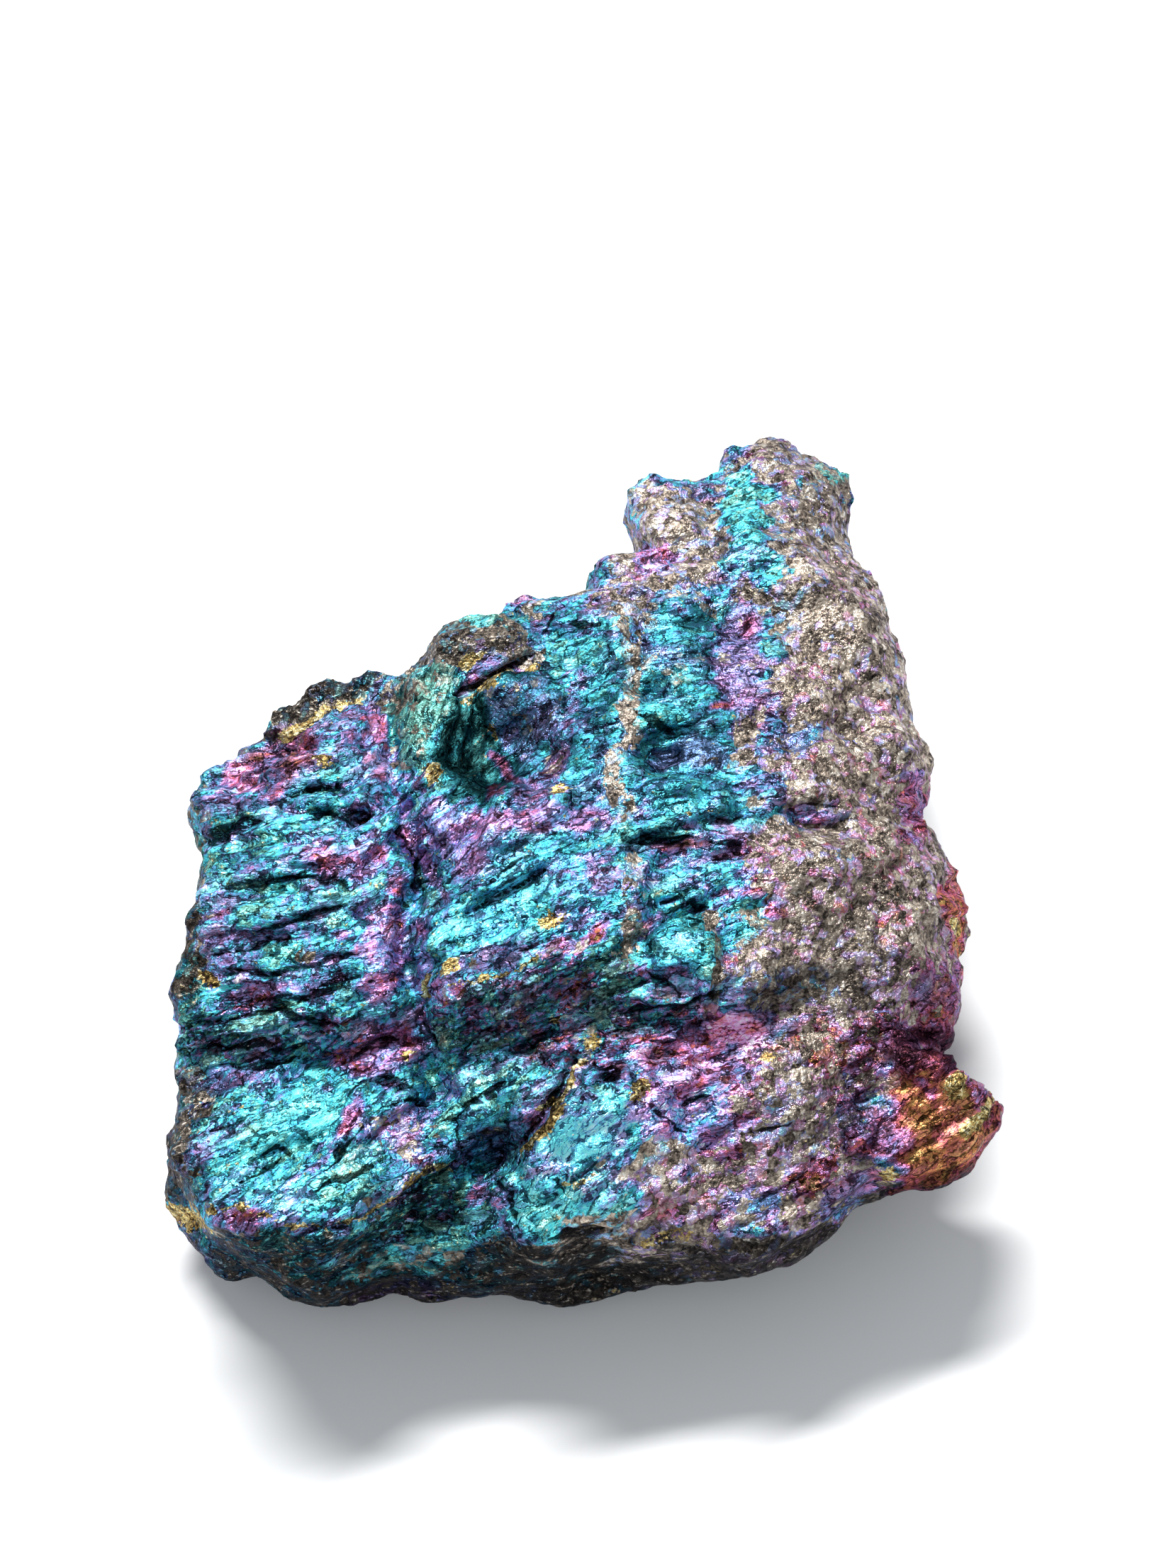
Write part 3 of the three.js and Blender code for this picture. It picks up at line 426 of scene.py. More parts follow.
# Lines: the points, the half width and the values.
STROKES = {
    "vein, back": ([
        (868, 860), (895, 905), (893, 960), (885, 1010), (893, 1040), (870, 1080), (868, 1120), (885, 1150),
    ], 14, dict(bare=0.72, shade=1.3)),
    "vein, front": ([(893, 1215), (890, 1250), (897, 1300), (888, 1330)], 14, dict(bare=0.7, shade=1.05)),
    "vein past the dome": ([
        (1000, 1300), (1008, 1350), (1012, 1390), (1005, 1430),
    ], 8, dict(bare=0.9, shade=0.8)),
    "seam": ([
        (552, 1060), (552, 1100), (568, 1160), (578, 1230), (575, 1290), (600, 1330), (590, 1400),
        (605, 1470), (640, 1540),
    ], 8, dict(film=0.58, shade=1.2)),
    "plate rim": ([
        (300, 1706), (363, 1716), (411, 1729), (475, 1726), (520, 1702), (558, 1676), (603, 1652),
        (636, 1643),
    ], 4, dict(gold=0.85, shade=0.6)),
    "gold ridge": ([
        (738, 1634), (764, 1595), (793, 1556), (830, 1502),
    ], 3.5, dict(gold=1.8, shade=1.1, sink=-0.3)),
    "green blade 1": ([
        (655, 1552), (690, 1530), (722, 1508),
    ], 8, dict(film=1, bare=0.1, shade=1.7, sink=-0.25)),
    "green blade 2": ([
        (606, 1522), (625, 1508), (643, 1500),
    ], 8, dict(film=1, bare=0.1, shade=1.5, sink=-0.2)),
    "green blade 3": ([(612, 1602), (628, 1578), (640, 1560)], 8, dict(film=0.95, shade=1.4, sink=-0.2)),
    "gold ridge, branch": ([(754, 1567), (775, 1558), (790, 1548)], 4, dict(gold=1.3, shade=0.8)),
    "edge of the middle ledge": ([
        (640, 1391), (696, 1382), (740, 1358), (760, 1345),
    ], 4, dict(gold=0.7, shade=0.5)),
    "gold lip of the back slit": ([
        (652, 992), (690, 975), (720, 955), (760, 935),
    ], 5, dict(gold=0.8, shade=0.9)),
    "fibre on the blue plate": ([
        (800, 1672), (835, 1660), (862, 1635),
    ], 4, dict(bare=0.6, film=0.9, shade=1.1)),
    "tan foot of the blue plate": ([(800, 1668), (815, 1672), (830, 1662)], 6, dict(gold=0.8, shade=1)),
}

# Slits, by the part of the stone that they cut, sunk into the relief and darkened with painted shade: points
# along each slit, its half width in pixels and its depth in millimetres.
SLITS = {
    "left block": [
        ([(280, 1190), (305, 1175), (340, 1165), (368, 1155)], 11, 0.36),
        ([(300, 1168), (330, 1160), (362, 1152)], 6, 0.21),
        ([(367, 1085), (400, 1082), (436, 1078)], 6, 0.3),
        ([(366, 1058), (400, 1055), (432, 1052)], 6, 0.24),
        ([(398, 1123), (440, 1118), (485, 1106)], 7, 0.3),
        ([(412, 1142), (450, 1148), (500, 1152), (532, 1150)], 8, 0.33),
        ([(440, 1158), (480, 1163), (520, 1158)], 4, 0.18),
        ([(310, 1255), (360, 1250), (400, 1240), (432, 1230)], 8, 0.33),
        ([(436, 1230), (465, 1242), (495, 1250)], 9, 0.27),
        ([(350, 1312), (395, 1306), (440, 1288), (490, 1275)], 6, 0.3),
        ([(300, 1345), (350, 1338), (410, 1322), (455, 1312)], 5, 0.21),
        ([(320, 1372), (380, 1372), (450, 1360), (520, 1345)], 6, 0.24),
        ([(440, 1395), (480, 1385), (510, 1372)], 7, 0.3),
        ([(330, 1420), (400, 1408), (470, 1398), (540, 1380)], 5, 0.21),
        ([(400, 1240), (440, 1215), (470, 1240), (505, 1260)], 3, 0.12),
    ],
    "left ledge": [
        ([(255, 1445), (320, 1440), (390, 1425), (450, 1440), (480, 1450)], 6, 0.3),
        ([(262, 1480), (320, 1478), (370, 1470), (400, 1485), (440, 1478)], 6, 0.3),
        ([(310, 1502), (350, 1505), (400, 1500), (430, 1490)], 6, 0.24),
    ],
    "seam": [
        ([(570, 1165), (578, 1205), (588, 1240), (600, 1252)], 8, 0.36),
        ([(560, 1262), (568, 1278), (575, 1285)], 6, 0.24),
        ([(578, 1250), (600, 1246), (618, 1240)], 8, 0.3),
    ],
    "back edge": [
        ([(640, 978), (670, 970), (700, 955), (735, 930), (760, 915)], 5, 0.36),
        ([(760, 905), (775, 880), (785, 860)], 3, 0.18),
        ([(800, 880), (850, 880)], 6, 0.18),
    ],
    "high ground": [
        ([(640, 1262), (680, 1248), (725, 1218), (760, 1205)], 4, 0.21),
        ([(655, 1290), (700, 1265), (745, 1240), (815, 1215)], 5, 0.27),
        ([(720, 1345), (770, 1320), (820, 1302)], 4, 0.18),
    ],
    "column": [
        ([(897, 998), (920, 1015), (955, 1034)], 8, 0.3),
        ([(1005, 1162), (1030, 1155), (1052, 1145)], 5, 0.24),
    ],
    "right of the vein": [
        ([(887, 1190), (915, 1182), (950, 1185), (978, 1180)], 10, 0.42),
        ([(998, 1190), (1030, 1188), (1050, 1190)], 7, 0.24),
        ([(1000, 1215), (1040, 1205)], 6, 0.18),
        ([(925, 1280), (960, 1262), (990, 1250)], 5, 0.21),
        ([(918, 1298), (955, 1280), (985, 1272)], 5, 0.21),
        ([(970, 1285), (1000, 1285)], 7, 0.24),
    ],
    "right ledge": [
        ([(905, 1365), (930, 1385), (960, 1402)], 5, 0.24),
        ([(880, 1430), (930, 1420), (980, 1418), (1020, 1400)], 9, 0.3),
        ([(900, 1465), (930, 1470), (955, 1468)], 5, 0.21),
    ],
    "grey ground": [
        ([(1112, 1143), (1150, 1135), (1190, 1138)], 3, 0.18),
        ([(1050, 1595), (1090, 1588), (1140, 1585)], 4, 0.18),
        ([(1240, 1680), (1255, 1676)], 8, 0.18),
    ],
    "lower left plate": [
        ([(330, 1675), (370, 1655), (400, 1640)], 5, 0.21),
        ([(430, 1690), (480, 1665), (520, 1645), (555, 1632)], 5, 0.21),
        ([(300, 1600), (330, 1585), (365, 1570)], 4, 0.18),
        ([(330, 1500), (345, 1550)], 3, 0.12),
        ([(365, 1640), (390, 1618), (405, 1628), (430, 1650)], 4, 0.18),
        ([(450, 1665), (475, 1640), (500, 1600), (540, 1560)], 4, 0.18),
        ([(470, 1640), (490, 1590), (510, 1560)], 4, 0.15),
    ],
    "red hollow": [
        ([(540, 1560), (575, 1548), (605, 1552)], 6, 0.24),
        ([(510, 1525), (545, 1520), (580, 1530)], 9, 0.24),
        ([(490, 1500), (520, 1470), (560, 1460)], 4, 0.18),
    ],
    "terrace": [
        ([(600, 1620), (620, 1618), (638, 1625)], 4, 0.18),
        ([(650, 1560), (690, 1545), (720, 1520)], 5, 0.21),
        ([(620, 1590), (660, 1565), (700, 1550)], 5, 0.18),
        ([(735, 1450), (760, 1490), (785, 1505)], 5, 0.24),
        ([(595, 1440), (612, 1470), (640, 1490)], 5, 0.24),
        ([(640, 1580), (648, 1630), (640, 1650)], 5, 0.21),
    ],
    "lower middle": [
        ([(965, 1560), (985, 1550), (1005, 1545)], 6, 0.24),
        ([(905, 1550), (925, 1568), (950, 1590), (980, 1600)], 4, 0.18),
        ([(840, 1500), (860, 1510), (875, 1520)], 11, 0.3),
        ([(724, 1628), (750, 1586), (780, 1548), (816, 1498)], 6, 0.3),
        ([(765, 1645), (790, 1660), (800, 1690)], 3, 0.12),
        ([(700, 1660), (720, 1690), (735, 1740)], 4, 0.18),
        ([(760, 1745), (800, 1740), (850, 1735)], 8, 0.21),
    ],
}

# Which way the laps run: a place, how far it is felt, and the angle there, in pixels and degrees.
LAY = {
    "left block, back": ((350, 1180), 90, 8),
    "left block, front": ((400, 1330), 90, 14),
    "seam, back": ((560, 1140), 50, 42),
    "seam, front": ((600, 1250), 45, 42),
    "high ground": ((700, 1250), 90, 30),
    "middle ledge": ((700, 1420), 90, 24),
    "lower left plate": ((380, 1600), 80, 33),
    "pale blades": ((500, 1640), 70, 40),
    "purple ground": ((640, 1190), 34, 58),
    "pale green plane": ((590, 1010), 38, 78),
    "hollow, left": ((640, 1070), 30, 78),
    "hollow, right": ((720, 1030), 40, 60),
    "block 1": ((850, 930), 25, 78),
    "red hollow": ((560, 1500), 60, 27),
    "terrace": ((700, 1560), 60, 38),
    "streaks on the front": ((600, 1770), 80, 14),
    "column": ((920, 950), 90, 8),
    "block 4": ((850, 1080), 50, 30),
    "right of the vein": ((960, 1270), 60, 30),
    "right ledge": ((960, 1440), 80, 14),
    "blue plate": ((820, 1620), 60, 42),
    "grey right": ((1200, 1100), 200, 10),
    "grey lobe": ((1050, 750), 150, 20),
    "grey lower right": ((1100, 1600), 120, 20),
    "knob": ((1320, 1590), 70, 42),
}


# ---------------------------------------------------------------- the fine surface

def in_picture(places):
    """Pixels of the picture at which places of the stone, in millimetres, appear."""
    from_eye = places - EYE
    depth = from_eye @ AHEAD
    focal = DISTANCE * PIXELS_PER_MM
    across = PICTURE[0] / 2 + focal * from_eye[:, 0] / depth
    down = PICTURE[1] / 2 - focal * (from_eye @ UPWARD) / depth
    return np.stack([across, down], -1)


def placed(name, data):
    """An object of the scene that holds the data."""
    made = bpy.data.objects.new(name, data)
    bpy.context.scene.collection.objects.link(made)
    return made


def fine_copy(node):
    """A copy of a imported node, in millimetres, drawn with small even faces."""
    mesh = node.data.copy()
    mesh.transform(Matrix.Scale(1 / MM, 4))
    coarse = placed("coarse", mesh)
    weld = coarse.modifiers.new("weld", "WELD")
    weld.merge_threshold = 0.001
    remesh = coarse.modifiers.new("remesh", "REMESH")
    remesh.mode = "VOXEL"
    remesh.voxel_size = CELL
    depsgraph = bpy.context.evaluated_depsgraph_get()
    fine = bpy.data.meshes.new_from_object(coarse.evaluated_get(depsgraph))
    bpy.data.objects.remove(coarse)
    return fine


def vectors_of(items, field):
    flat = np.zeros(len(items) * 3)
    items.foreach_get(field, flat)
    return flat.reshape(-1, 3)


def move_to(mesh, places):
    mesh.vertices.foreach_set("co", places.ravel())
    mesh.update()


def relaxed(mesh, places):
    """Places with their small unevenness smoothed away, and their size kept."""
    flat = np.zeros(len(mesh.edges) * 2, dtype=np.int64)
    mesh.edges.foreach_get("vertices", flat)
    a, b = flat.reshape(-1, 2).T
    count = np.bincount(flat, minlength=len(places))[:, None]
    for share in (0.5, -0.53) * RELAX_ROUNDS:
        sums = np.stack([
            np.bincount(a, places[b, axis], len(places)) + np.bincount(b, places[a, axis], len(places))
            for axis in range(3)
        ], -1)
        places = places + share * (sums / count - places)
    return places


# ---------------------------------------------------------------- painting the patches

def line_distance(points, line):
    """Distance of points to a line of straight stretches, in pixels, and how far along it they lie."""
    best = np.full(len(points), np.inf)
    along = np.zeros(len(points))
    for n, (start, end) in enumerate(zip(line[:-1], line[1:])):
        a, b = np.array(start, float), np.array(end, float)
        t = np.clip((points - a) @ (b - a) / ((b - a) @ (b - a)), 0, 1)
        distance = np.linalg.norm(points - a - t[:, None] * (b - a), axis=-1)
        along = np.where(distance < best, (n + t) / (len(line) - 1), along)
        best = np.minimum(best, distance)
    return best, along


def turned(places, degrees):
    """Distances along and across a direction that rises to the right by so many degrees."""
    angle = math.radians(degrees)
    along = places[:, 0] * math.cos(angle) + places[:, 1] * math.sin(angle)
    across = places[:, 1] * math.cos(angle) - places[:, 0] * math.sin(angle)
    return along, across


def ellipse_mask(points, at, half, turn, ragged):
    """1 inside the ellipse and 0 outside it. The ragged numbers push its soft edge in and out."""
    along, across = turned((points - at) * (1, -1), turn)
    return 1 - ease(np.hypot(along / half[0], across / half[1]) * (1 + ragged), 0.78, 1.16)


def area_mask(points, corners):
    """1 inside the corners and 0 outside them, with a narrow soft edge."""
    distance, _ = line_distance(points, corners + corners[:1])
    inside = np.zeros(len(points), dtype=bool)
    for (x0, y0), (x1, y1) in zip(corners, corners[1:] + corners[:1]):
        crosses = (points[:, 1] < y0) != (points[:, 1] < y1)
        slope = (x1 - x0) / (y1 - y0) if y1 != y0 else 0
        inside ^= crosses & (points[:, 0] < x0 + slope * (points[:, 1] - y0))
    return ease(np.where(inside, distance, -distance), -AREA_EDGE, AREA_EDGE)


def stroke_mask(points, line, half, ragged):
    """1 along the line and 0 away from it, with a ragged edge."""
    distance, _ = line_distance(points, line)
    return 1 - ease(distance * (1 + 1.4 * ragged), 0.5 * half, 1.4 * half)


def lay_on(paint, mask, values):
    """Moves painted values towards new ones, by the share in the mask."""
    for name, value in values.items():
        paint[name] = paint[name] + mask * (value - paint[name])


def ground_paint(base, normals, up):
    """The values before any patch: duller out of the camera's sight, painted shade and more bare grains on
    the walls at the front and on the left, and coppery on the right."""
    x, y = base[:, 0], base[:, 1]
    hidden = 1 - up
    paint = {name: np.zeros(len(base)) for name in ("gold", "sink", "even")}
    paint["film"] = 0.76 - 0.25 * ease(fractal(base / 7, 3, 51), 0, 0.8)
    paint["bare"] = hidden * 0.55 + 0.35 * hidden * ease(x + 5 * fractal(base / 6, 2, 61), 2, 12)
    paint["shade"] = 0.8 - 0.4 * hidden

    front = ease(-normals[:, 1], 0.5, 0.85) * ease(-y, *FRONT_WALL)
    left = ease(-normals[:, 0], 0.35, 0.75) * ease(-x, *LEFT_WALL)
    brown = ease(x, -8, 0)
    # Painted shade: the walls at the front and on the left are darkened, the right part of the front wall
    # most.
    paint["shade"] *= (1 - 0.89 * front) * (1 - 0.6 * left)
    lay_on(paint, 0.5 * left, {"bare": 0.7})
    lay_on(paint, front, {"bare": 0.55 + 0.3 * brown})
    paint["shade"] *= 1 - 0.3 * front * brown
    paint["even"] += 0.5 * front

    right = ease(x, *RIGHT_WALL) * ease(normals[:, 0], 0.2, 0.6) * ease(7 - y, 0, 4)
    lay_on(paint, right, {"film": 0.3 + 0.1 * fractal(base / 3, 2, 67), "bare": 0.35})
    paint["even"] += 0.3 * right
    return paint


def painted(base, normals, loose, firm, up):
    """All painted values of each vertex. The borders of large patches are loose, and the others firm."""
    ragged = 0.38 * fractal(base / np.array([1.3, 0.8, 0.8]), 3, 57)
    paint = ground_paint(base, normals, up)
    for at, half, turn, values in PATCHES.values():
        lay_on(paint, up * ellipse_mask(loose, at, half, turn, ragged), values)
    for corners, values in AREAS.values():
        lay_on(paint, up * area_mask(firm, corners), values)
    gold = [(*spot, dict(gold=1, shade=shade)) for *spot, shade in GOLD_SPOTS.values()]
    for at, half, turn, values in [*SPOTS.values(), *gold, *GRAIN_SPOTS.values()]:
        lay_on(paint, up * ellipse_mask(firm, at, half, turn, ragged), values)
    for line, half, values in STROKES.values():
        lay_on(paint, up * stroke_mask(firm, line, half, ragged), values)
    return paint


def cut_slits(base, firm, up):
    """How deep the slits are at each vertex, in millimetres, and from 0 to 1 how close it lies to one."""
    depths = np.zeros(len(base))
    nearness = np.zeros(len(base))
    uneven = fractal(base / 0.9, 2, 37)
    for line, half, depth in sum(SLITS.values(), []):
        distance, along = line_distance(firm, line)
        width = half * np.sqrt(np.clip(4 * along * (1 - along), 0.12, 1)) * (1 + 0.45 * uneven)
        depths = np.maximum(depths, up * (1 - ease(distance / width, 0.1, 1.5)) * depth)
        nearness = np.maximum(nearness, up * np.clip(1 - distance / (3 * width), 0, 1))
    return depths, nearness


# ---------------------------------------------------------------- relief

def lap_direction(points):
    """Which way the laps run at each point, in degrees."""
    weights = np.full(len(points), 1e-9)
    angle = weights * LAP_ANGLES[0]
    for at, reach, degrees in LAY.values():
        weight = np.exp(-((points - np.array(at)) ** 2).sum(-1) / (2 * reach**2))
        weights += weight
        angle += weight * degrees
    return angle / weights


def lay_shares(angle):
    """Shares of the lap angles: nearly all of it goes to the nearest one."""
    steps = [
        ease(angle, 0.65 * low + 0.35 * high, 0.35 * low + 0.65 * high)
        for low, high in zip(LAP_ANGLES, LAP_ANGLES[1:])
    ]
    return [1 - steps[0], steps[0] - steps[1], steps[1] - steps[2], steps[2]]


def in_lots(places, degrees, size):
    """Places counted in lots of a size: along the direction, across it and upwards."""
    along, across = turned(places, degrees)
    return np.stack([along / size[0], across / size[1], places[:, 2] / size[2]], -1)


def lap_height(places, degrees, spacing, seed):
    """Thin plates that lap over each other: each rises steeply at its front edge and falls off behind."""
    u, across = turned(places, degrees)
    v = across + 0.5 * places[:, 2]
    # The edges of the plates wander, and each plate is broken into pieces of unlike height.
    along = np.stack([u / (7 * spacing), v / (2.2 * spacing), np.full(len(u), seed)], -1)
    bent = v / spacing + 0.9 * fractal(along, 3, seed)
    layer = np.floor(bent)
    part = bent - layer
    broken = noise(np.stack([u / (3 * spacing), layer * 7.3, layer * 3.1], -1), seed + 9)
    rise = ease(part, 0, 0.2) * (1 - part)
    return (rise - 0.4) * (0.55 + 0.75 * broken)


def relief(base, lay, bare, even):
    """Height over the smooth stone: laps, crests and foil on the tarnish, and grains on the rest."""
    laps = np.zeros(len(base))
    for share, degrees in zip(lay_shares(lay), LAP_ANGLES):
        for spacing, height, seed in LAPS:
            laps += share * height * lap_height(base, degrees, spacing, seed)
        laps += share * RIDGE_HEIGHT * ridges(in_lots(base, degrees, RIDGES), 23)
    facet = crystals(in_lots(base, LAP_ANGLES[1], FOIL), 71)
    foil = FOIL_TILT * facet.face - 0.06 * (1 - ease(facet.gap, 0.02, 0.16))
    grain = crystals(base / GRAIN, 83)
    grains = 0.2 * (0.55 - grain.near) + 0.1 * grain.lot - 0.2 * (grain.lot > 0.86)
    grains += 0.12 * fractal(base / 1.5, 2, 91)
    coated = 1 - 0.85 * bare
    return coated * (laps + foil) * (1 - 0.6 * even) + bare * grains + 0.1 * fractal(base / 0.8, 2, 97)


def sculpt(mesh):
    """Gives the fine surface its relief and returns the tarnish, with its painted light and shade, and the
    lay of each vertex.
    """
    base = relaxed(mesh, vectors_of(mesh.vertices, "co"))
    move_to(mesh, base)
    normals = vectors_of(mesh.vertex_normals, "vector")
    points = in_picture(base)
    wander = np.stack([fractal(base / WANDER, 3, 31), fractal(base / WANDER, 3, 41)], -1)
    firm = points + FIRM_BORDER * wander
    up = ease(normals @ -AHEAD, -0.1, 0.25)

    paint = painted(base, normals, points + LOOSE_BORDER * wander, firm, up)
    slits, near_slit = cut_slits(base, firm, up)
    lay = lap_direction(points)
    bare = np.clip(paint["bare"], 0, 1)
    height = relief(base, lay, bare, paint["even"])
    height *= 0.5 + 0.5 * ease(normals[:, 2], 0.1, 0.6)
    height -= slits + paint["sink"]

    # The flat spot stays flat, and the stone stays in its box.
    rough = base + normals * (height * ease(base[:, 2], *FLAT_SPOT))[:, None]
    low, high = (np.array(corner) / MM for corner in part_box(NODE))
    move_to(mesh, np.clip(rough, low, high))

    # Painted shade: deep places and slits are darkened. The film in deep places is also thinner.
    deep = ease(-height, 0.12, 0.6)
    film = paint["film"] - 0.15 * deep * (paint["film"] > 0.6)
    shade = paint["shade"] * (1 - 0.35 * ease(slits, 0.05, 0.35))
    tarnish = np.stack([film, bare, shade * (1 - 0.45 * deep), paint["gold"]], -1)
    block = crystals(base / BLOCK + 0.15 * wander[:, :1], 61)
    grain_way = np.clip((lay + GRAIN_TURN * (block.lot - 0.5)) / 90, 0, 1)
    # The lay holds the grain's way, the evenness and the nearness to a slit, which the material paints as
    # shade.
    return tarnish, np.stack([grain_way, paint["even"], near_slit, np.ones(len(base))], -1)


def add_colours(mesh, name, values):
    made = mesh.attributes.new(name, "FLOAT_COLOR", "POINT")
    made.data.foreach_set("color", values.astype(np.float32).ravel())


# ---------------------------------------------------------------- material: kinds of nodes

# The stone's material: its tarnish, with painted light and shade in its base colour.
material = bpy.data.materials.new("tarnished_ore_and_painted_light")
material.use_nodes = True
tree = material.node_tree
tree.nodes.clear()


def add(kind, inputs, **settings):
    """The outputs of a new shader node. An input is a number, a colour or another node's socket."""
    made = tree.nodes.new(kind)
    for name, value in settings.items():
        setattr(made, name, value)
    for name, value in inputs.items():
        if isinstance(value, bpy.types.NodeSocket):
            tree.links.new(value, made.inputs[name])
        else:
            made.inputs[name].default_value = value
    return made.outputs


def maths(operation, *values, clamp=False):
    return add("ShaderNodeMath", dict(enumerate(values)), operation=operation, use_clamp=clamp)[0]


def vector_maths(operation, *values):
    return add("ShaderNodeVectorMath", dict(enumerate(values)), operation=operation)[0]


def scaled(value, amount, plus, clamp=False):
    """The value times an amount, plus another."""
    return maths("MULTIPLY_ADD", value, amount, plus, clamp=clamp)


def around(value, amount, middle=0.5):
    """The value's departure from its middle, times an amount."""
    return scaled(value, amount, -middle * amount)


def rest(value):
    """What the value leaves of 1."""
    return maths("SUBTRACT", 1.0, value)


def total(first, *others):
    for other in others:
        first = maths("ADD", first, other)
    return first


def product(first, *others):
    for other in others:
        first = maths("MULTIPLY", first, other)
    return first


def spread(value, low, high):
    """The value stretched so that low becomes 0 and high becomes 1."""
    inputs = {"Value": value, "From Min": low, "From Max": high}
    return add("ShaderNodeMapRange", inputs, clamp=True, interpolation_type="SMOOTHSTEP")["Result"]


def ramp(factor, stops):
    made = add("ShaderNodeValToRGB", {"Fac": factor})["Color"]
    elements = made.node.color_ramp.elements
    while len(elements) < len(stops):
        elements.new(0.5)
    for element, (position, colour) in zip(elements, stops):
        element.position = position
        element.color = (*colour, 1)
    return made


def mix(factor, first, second, blend="MIX"):
    inputs = {0: factor, 6: first, 7: second}
    return add("ShaderNodeMix", inputs, data_type="RGBA", blend_type=blend)[2]


def waves(place, scale, detail, rough=0.55):
    inputs = {"Vector": place, "Scale": scale, "Detail": detail, "Roughness": rough}
    return add("ShaderNodeTexNoise", inputs)["Fac"]


def stretched(place, scale, shift=(0, 0, 0)):
    """Places scaled along each axis and then shifted."""
    return vector_maths("MULTIPLY_ADD", place, scale, shift)


def plates(place, scale):
    """Plates of about 1 / scale: three numbers for each plate, and the distance to its border."""
    inputs = {"Vector": place, "Scale": scale}
    lot = add("ShaderNodeTexVoronoi", inputs)["Color"]
    return lot, add("ShaderNodeTexVoronoi", inputs, feature="DISTANCE_TO_EDGE")["Distance"]


def tilted(lot, amount):
    """A turn of the surface for each plate, from its three numbers."""
    return stretched(lot, (amount,) * 3, (-amount / 2,) * 3)


def split(colour):
    return add("ShaderNodeSeparateColor", {"Color": colour})[:3]


# ---------------------------------------------------------------- material: painted values and patterns

# Painted values: film, bare share, painted light and shade, and gold; and the lay with the nearness to
# slits.
painted_tarnish_and_shade = add("ShaderNodeAttribute", {}, attribute_name="tarnish")
gold = painted_tarnish_and_shade["Alpha"]
film, bare, shade = split(painted_tarnish_and_shade["Color"])
way, even, near_slit = split(add("ShaderNodeAttribute", {}, attribute_name="lay")["Color"])
steady = rest(even)
calm = scaled(even, -0.8, 1.0)

object_place = add("ShaderNodeTexCoord", {})["Object"]
place = add("ShaderNodeVectorMath", {0: object_place, "Scale": 1 / MM}, operation="SCALE")[0]
wide = waves(place, WIDE_WAVES, 2.0)
middle = waves(place, MIDDLE_WAVES, 3.0)
fine = waves(place, FINE_WAVES, 2.0)
waver = product(waves(place, WAVER, 2.0), 0.7)

# Along the laps lie long plates and short facets, and the cracks at their borders come and go.
angle = maths("RADIANS", maths("SNAP", product(way, 90.0), WAY_STEP))
turn = {"Vector": place, "Angle": product(angle, -1.0)}
along = add("ShaderNodeVectorRotate", turn, rotation_type="Z_AXIS")[0]
long_lot, long_border = plates(stretched(along, (0.3, 1.0, 0.8), waver), LONG_PLATES)
short_lot, short_border = plates(stretched(along, (0.5, 1.0, 0.8), waver), SHORT_FACETS)
long_lots = split(long_lot)
short_lots = split(short_lot)
long_crack = spread(total(long_border, around(middle, 0.5)), 0.0, 0.07)
short_crack = spread(total(short_border, around(middle, -0.5, 0.56)), 0.0, 0.12)

# Fibres, streaks and thin dark lines are drawn out the same way.
drawn = stretched(along, (0.19, 1.0, 0.7))
fibres = waves(drawn, FIBRES, 5.0, 0.65)
streaks = waves(drawn, STREAKS, 2.0, 0.5)
line = waves(stretched(along, (0.26, 1.0, 0.8)), THIN_LINES, 3.0, 0.6)
line = spread(maths("ABSOLUTE", around(line, 1.0)), 0.006, 0.026)

# The uncoated grains.
grain_place = stretched(place, (1.0, 1.0, 1.0), product(waver, 1.5))
grain = add("ShaderNodeTexVoronoi", {"Vector": grain_place, "Scale": GRAINS})
grain_lots = split(grain["Color"])
uncoated = spread(total(bare, around(middle, 0.5), around(grain_lots[2], 0.5)), 0.42, 0.58)
coated = rest(uncoated)


# ---------------------------------------------------------------- material: colour, light and relief

def film_colour():
    """Tarnish: the film's thickness wanders, and its colour with it. A pale pearly tint over some plates is
    partly the film's own colour and partly painted sheen.
    """
    wandering = total(
        around(wide, 0.7), around(middle, 0.5), around(fine, 0.45), around(long_lots[1], 0.16),
        around(short_lots[1], 0.2), around(streaks, 0.5),
    )
    hue = ramp(scaled(wandering, steady, film, clamp=True), FILM_COLOURS)
    # Pale pearly tint: partly the film's own colour, partly painted sheen.
    pearly = product(spread(long_lots[2], 0.6, 0.9), steady, 0.16)
    return mix(pearly, hue, PEARL_AND_SHEEN)


def grain_colour(hue):
    """Uncoated grains: dark, tan and silver, and some with a breath of tarnish."""
    tone = total(0.36, around(fine, 1.1), around(grain_lots[0], 0.5), around(middle, 0.4))
    tinted = spread(total(grain_lots[1], around(middle, 1.2)), 0.62, 0.85)
    return mix(product(tinted, 0.6), ramp(tone, GRAIN_COLOURS), hue)


def gilded(colour):
    """The colour with golden metal over it."""
    golden = ramp(total(fine, around(grain_lots[1], 0.3)), GOLD_COLOURS)
    gilt = spread(total(gold, around(middle, 1.9), around(fine, 1.9)), 0.52, 0.6)
    return mix(gilt, colour, golden)


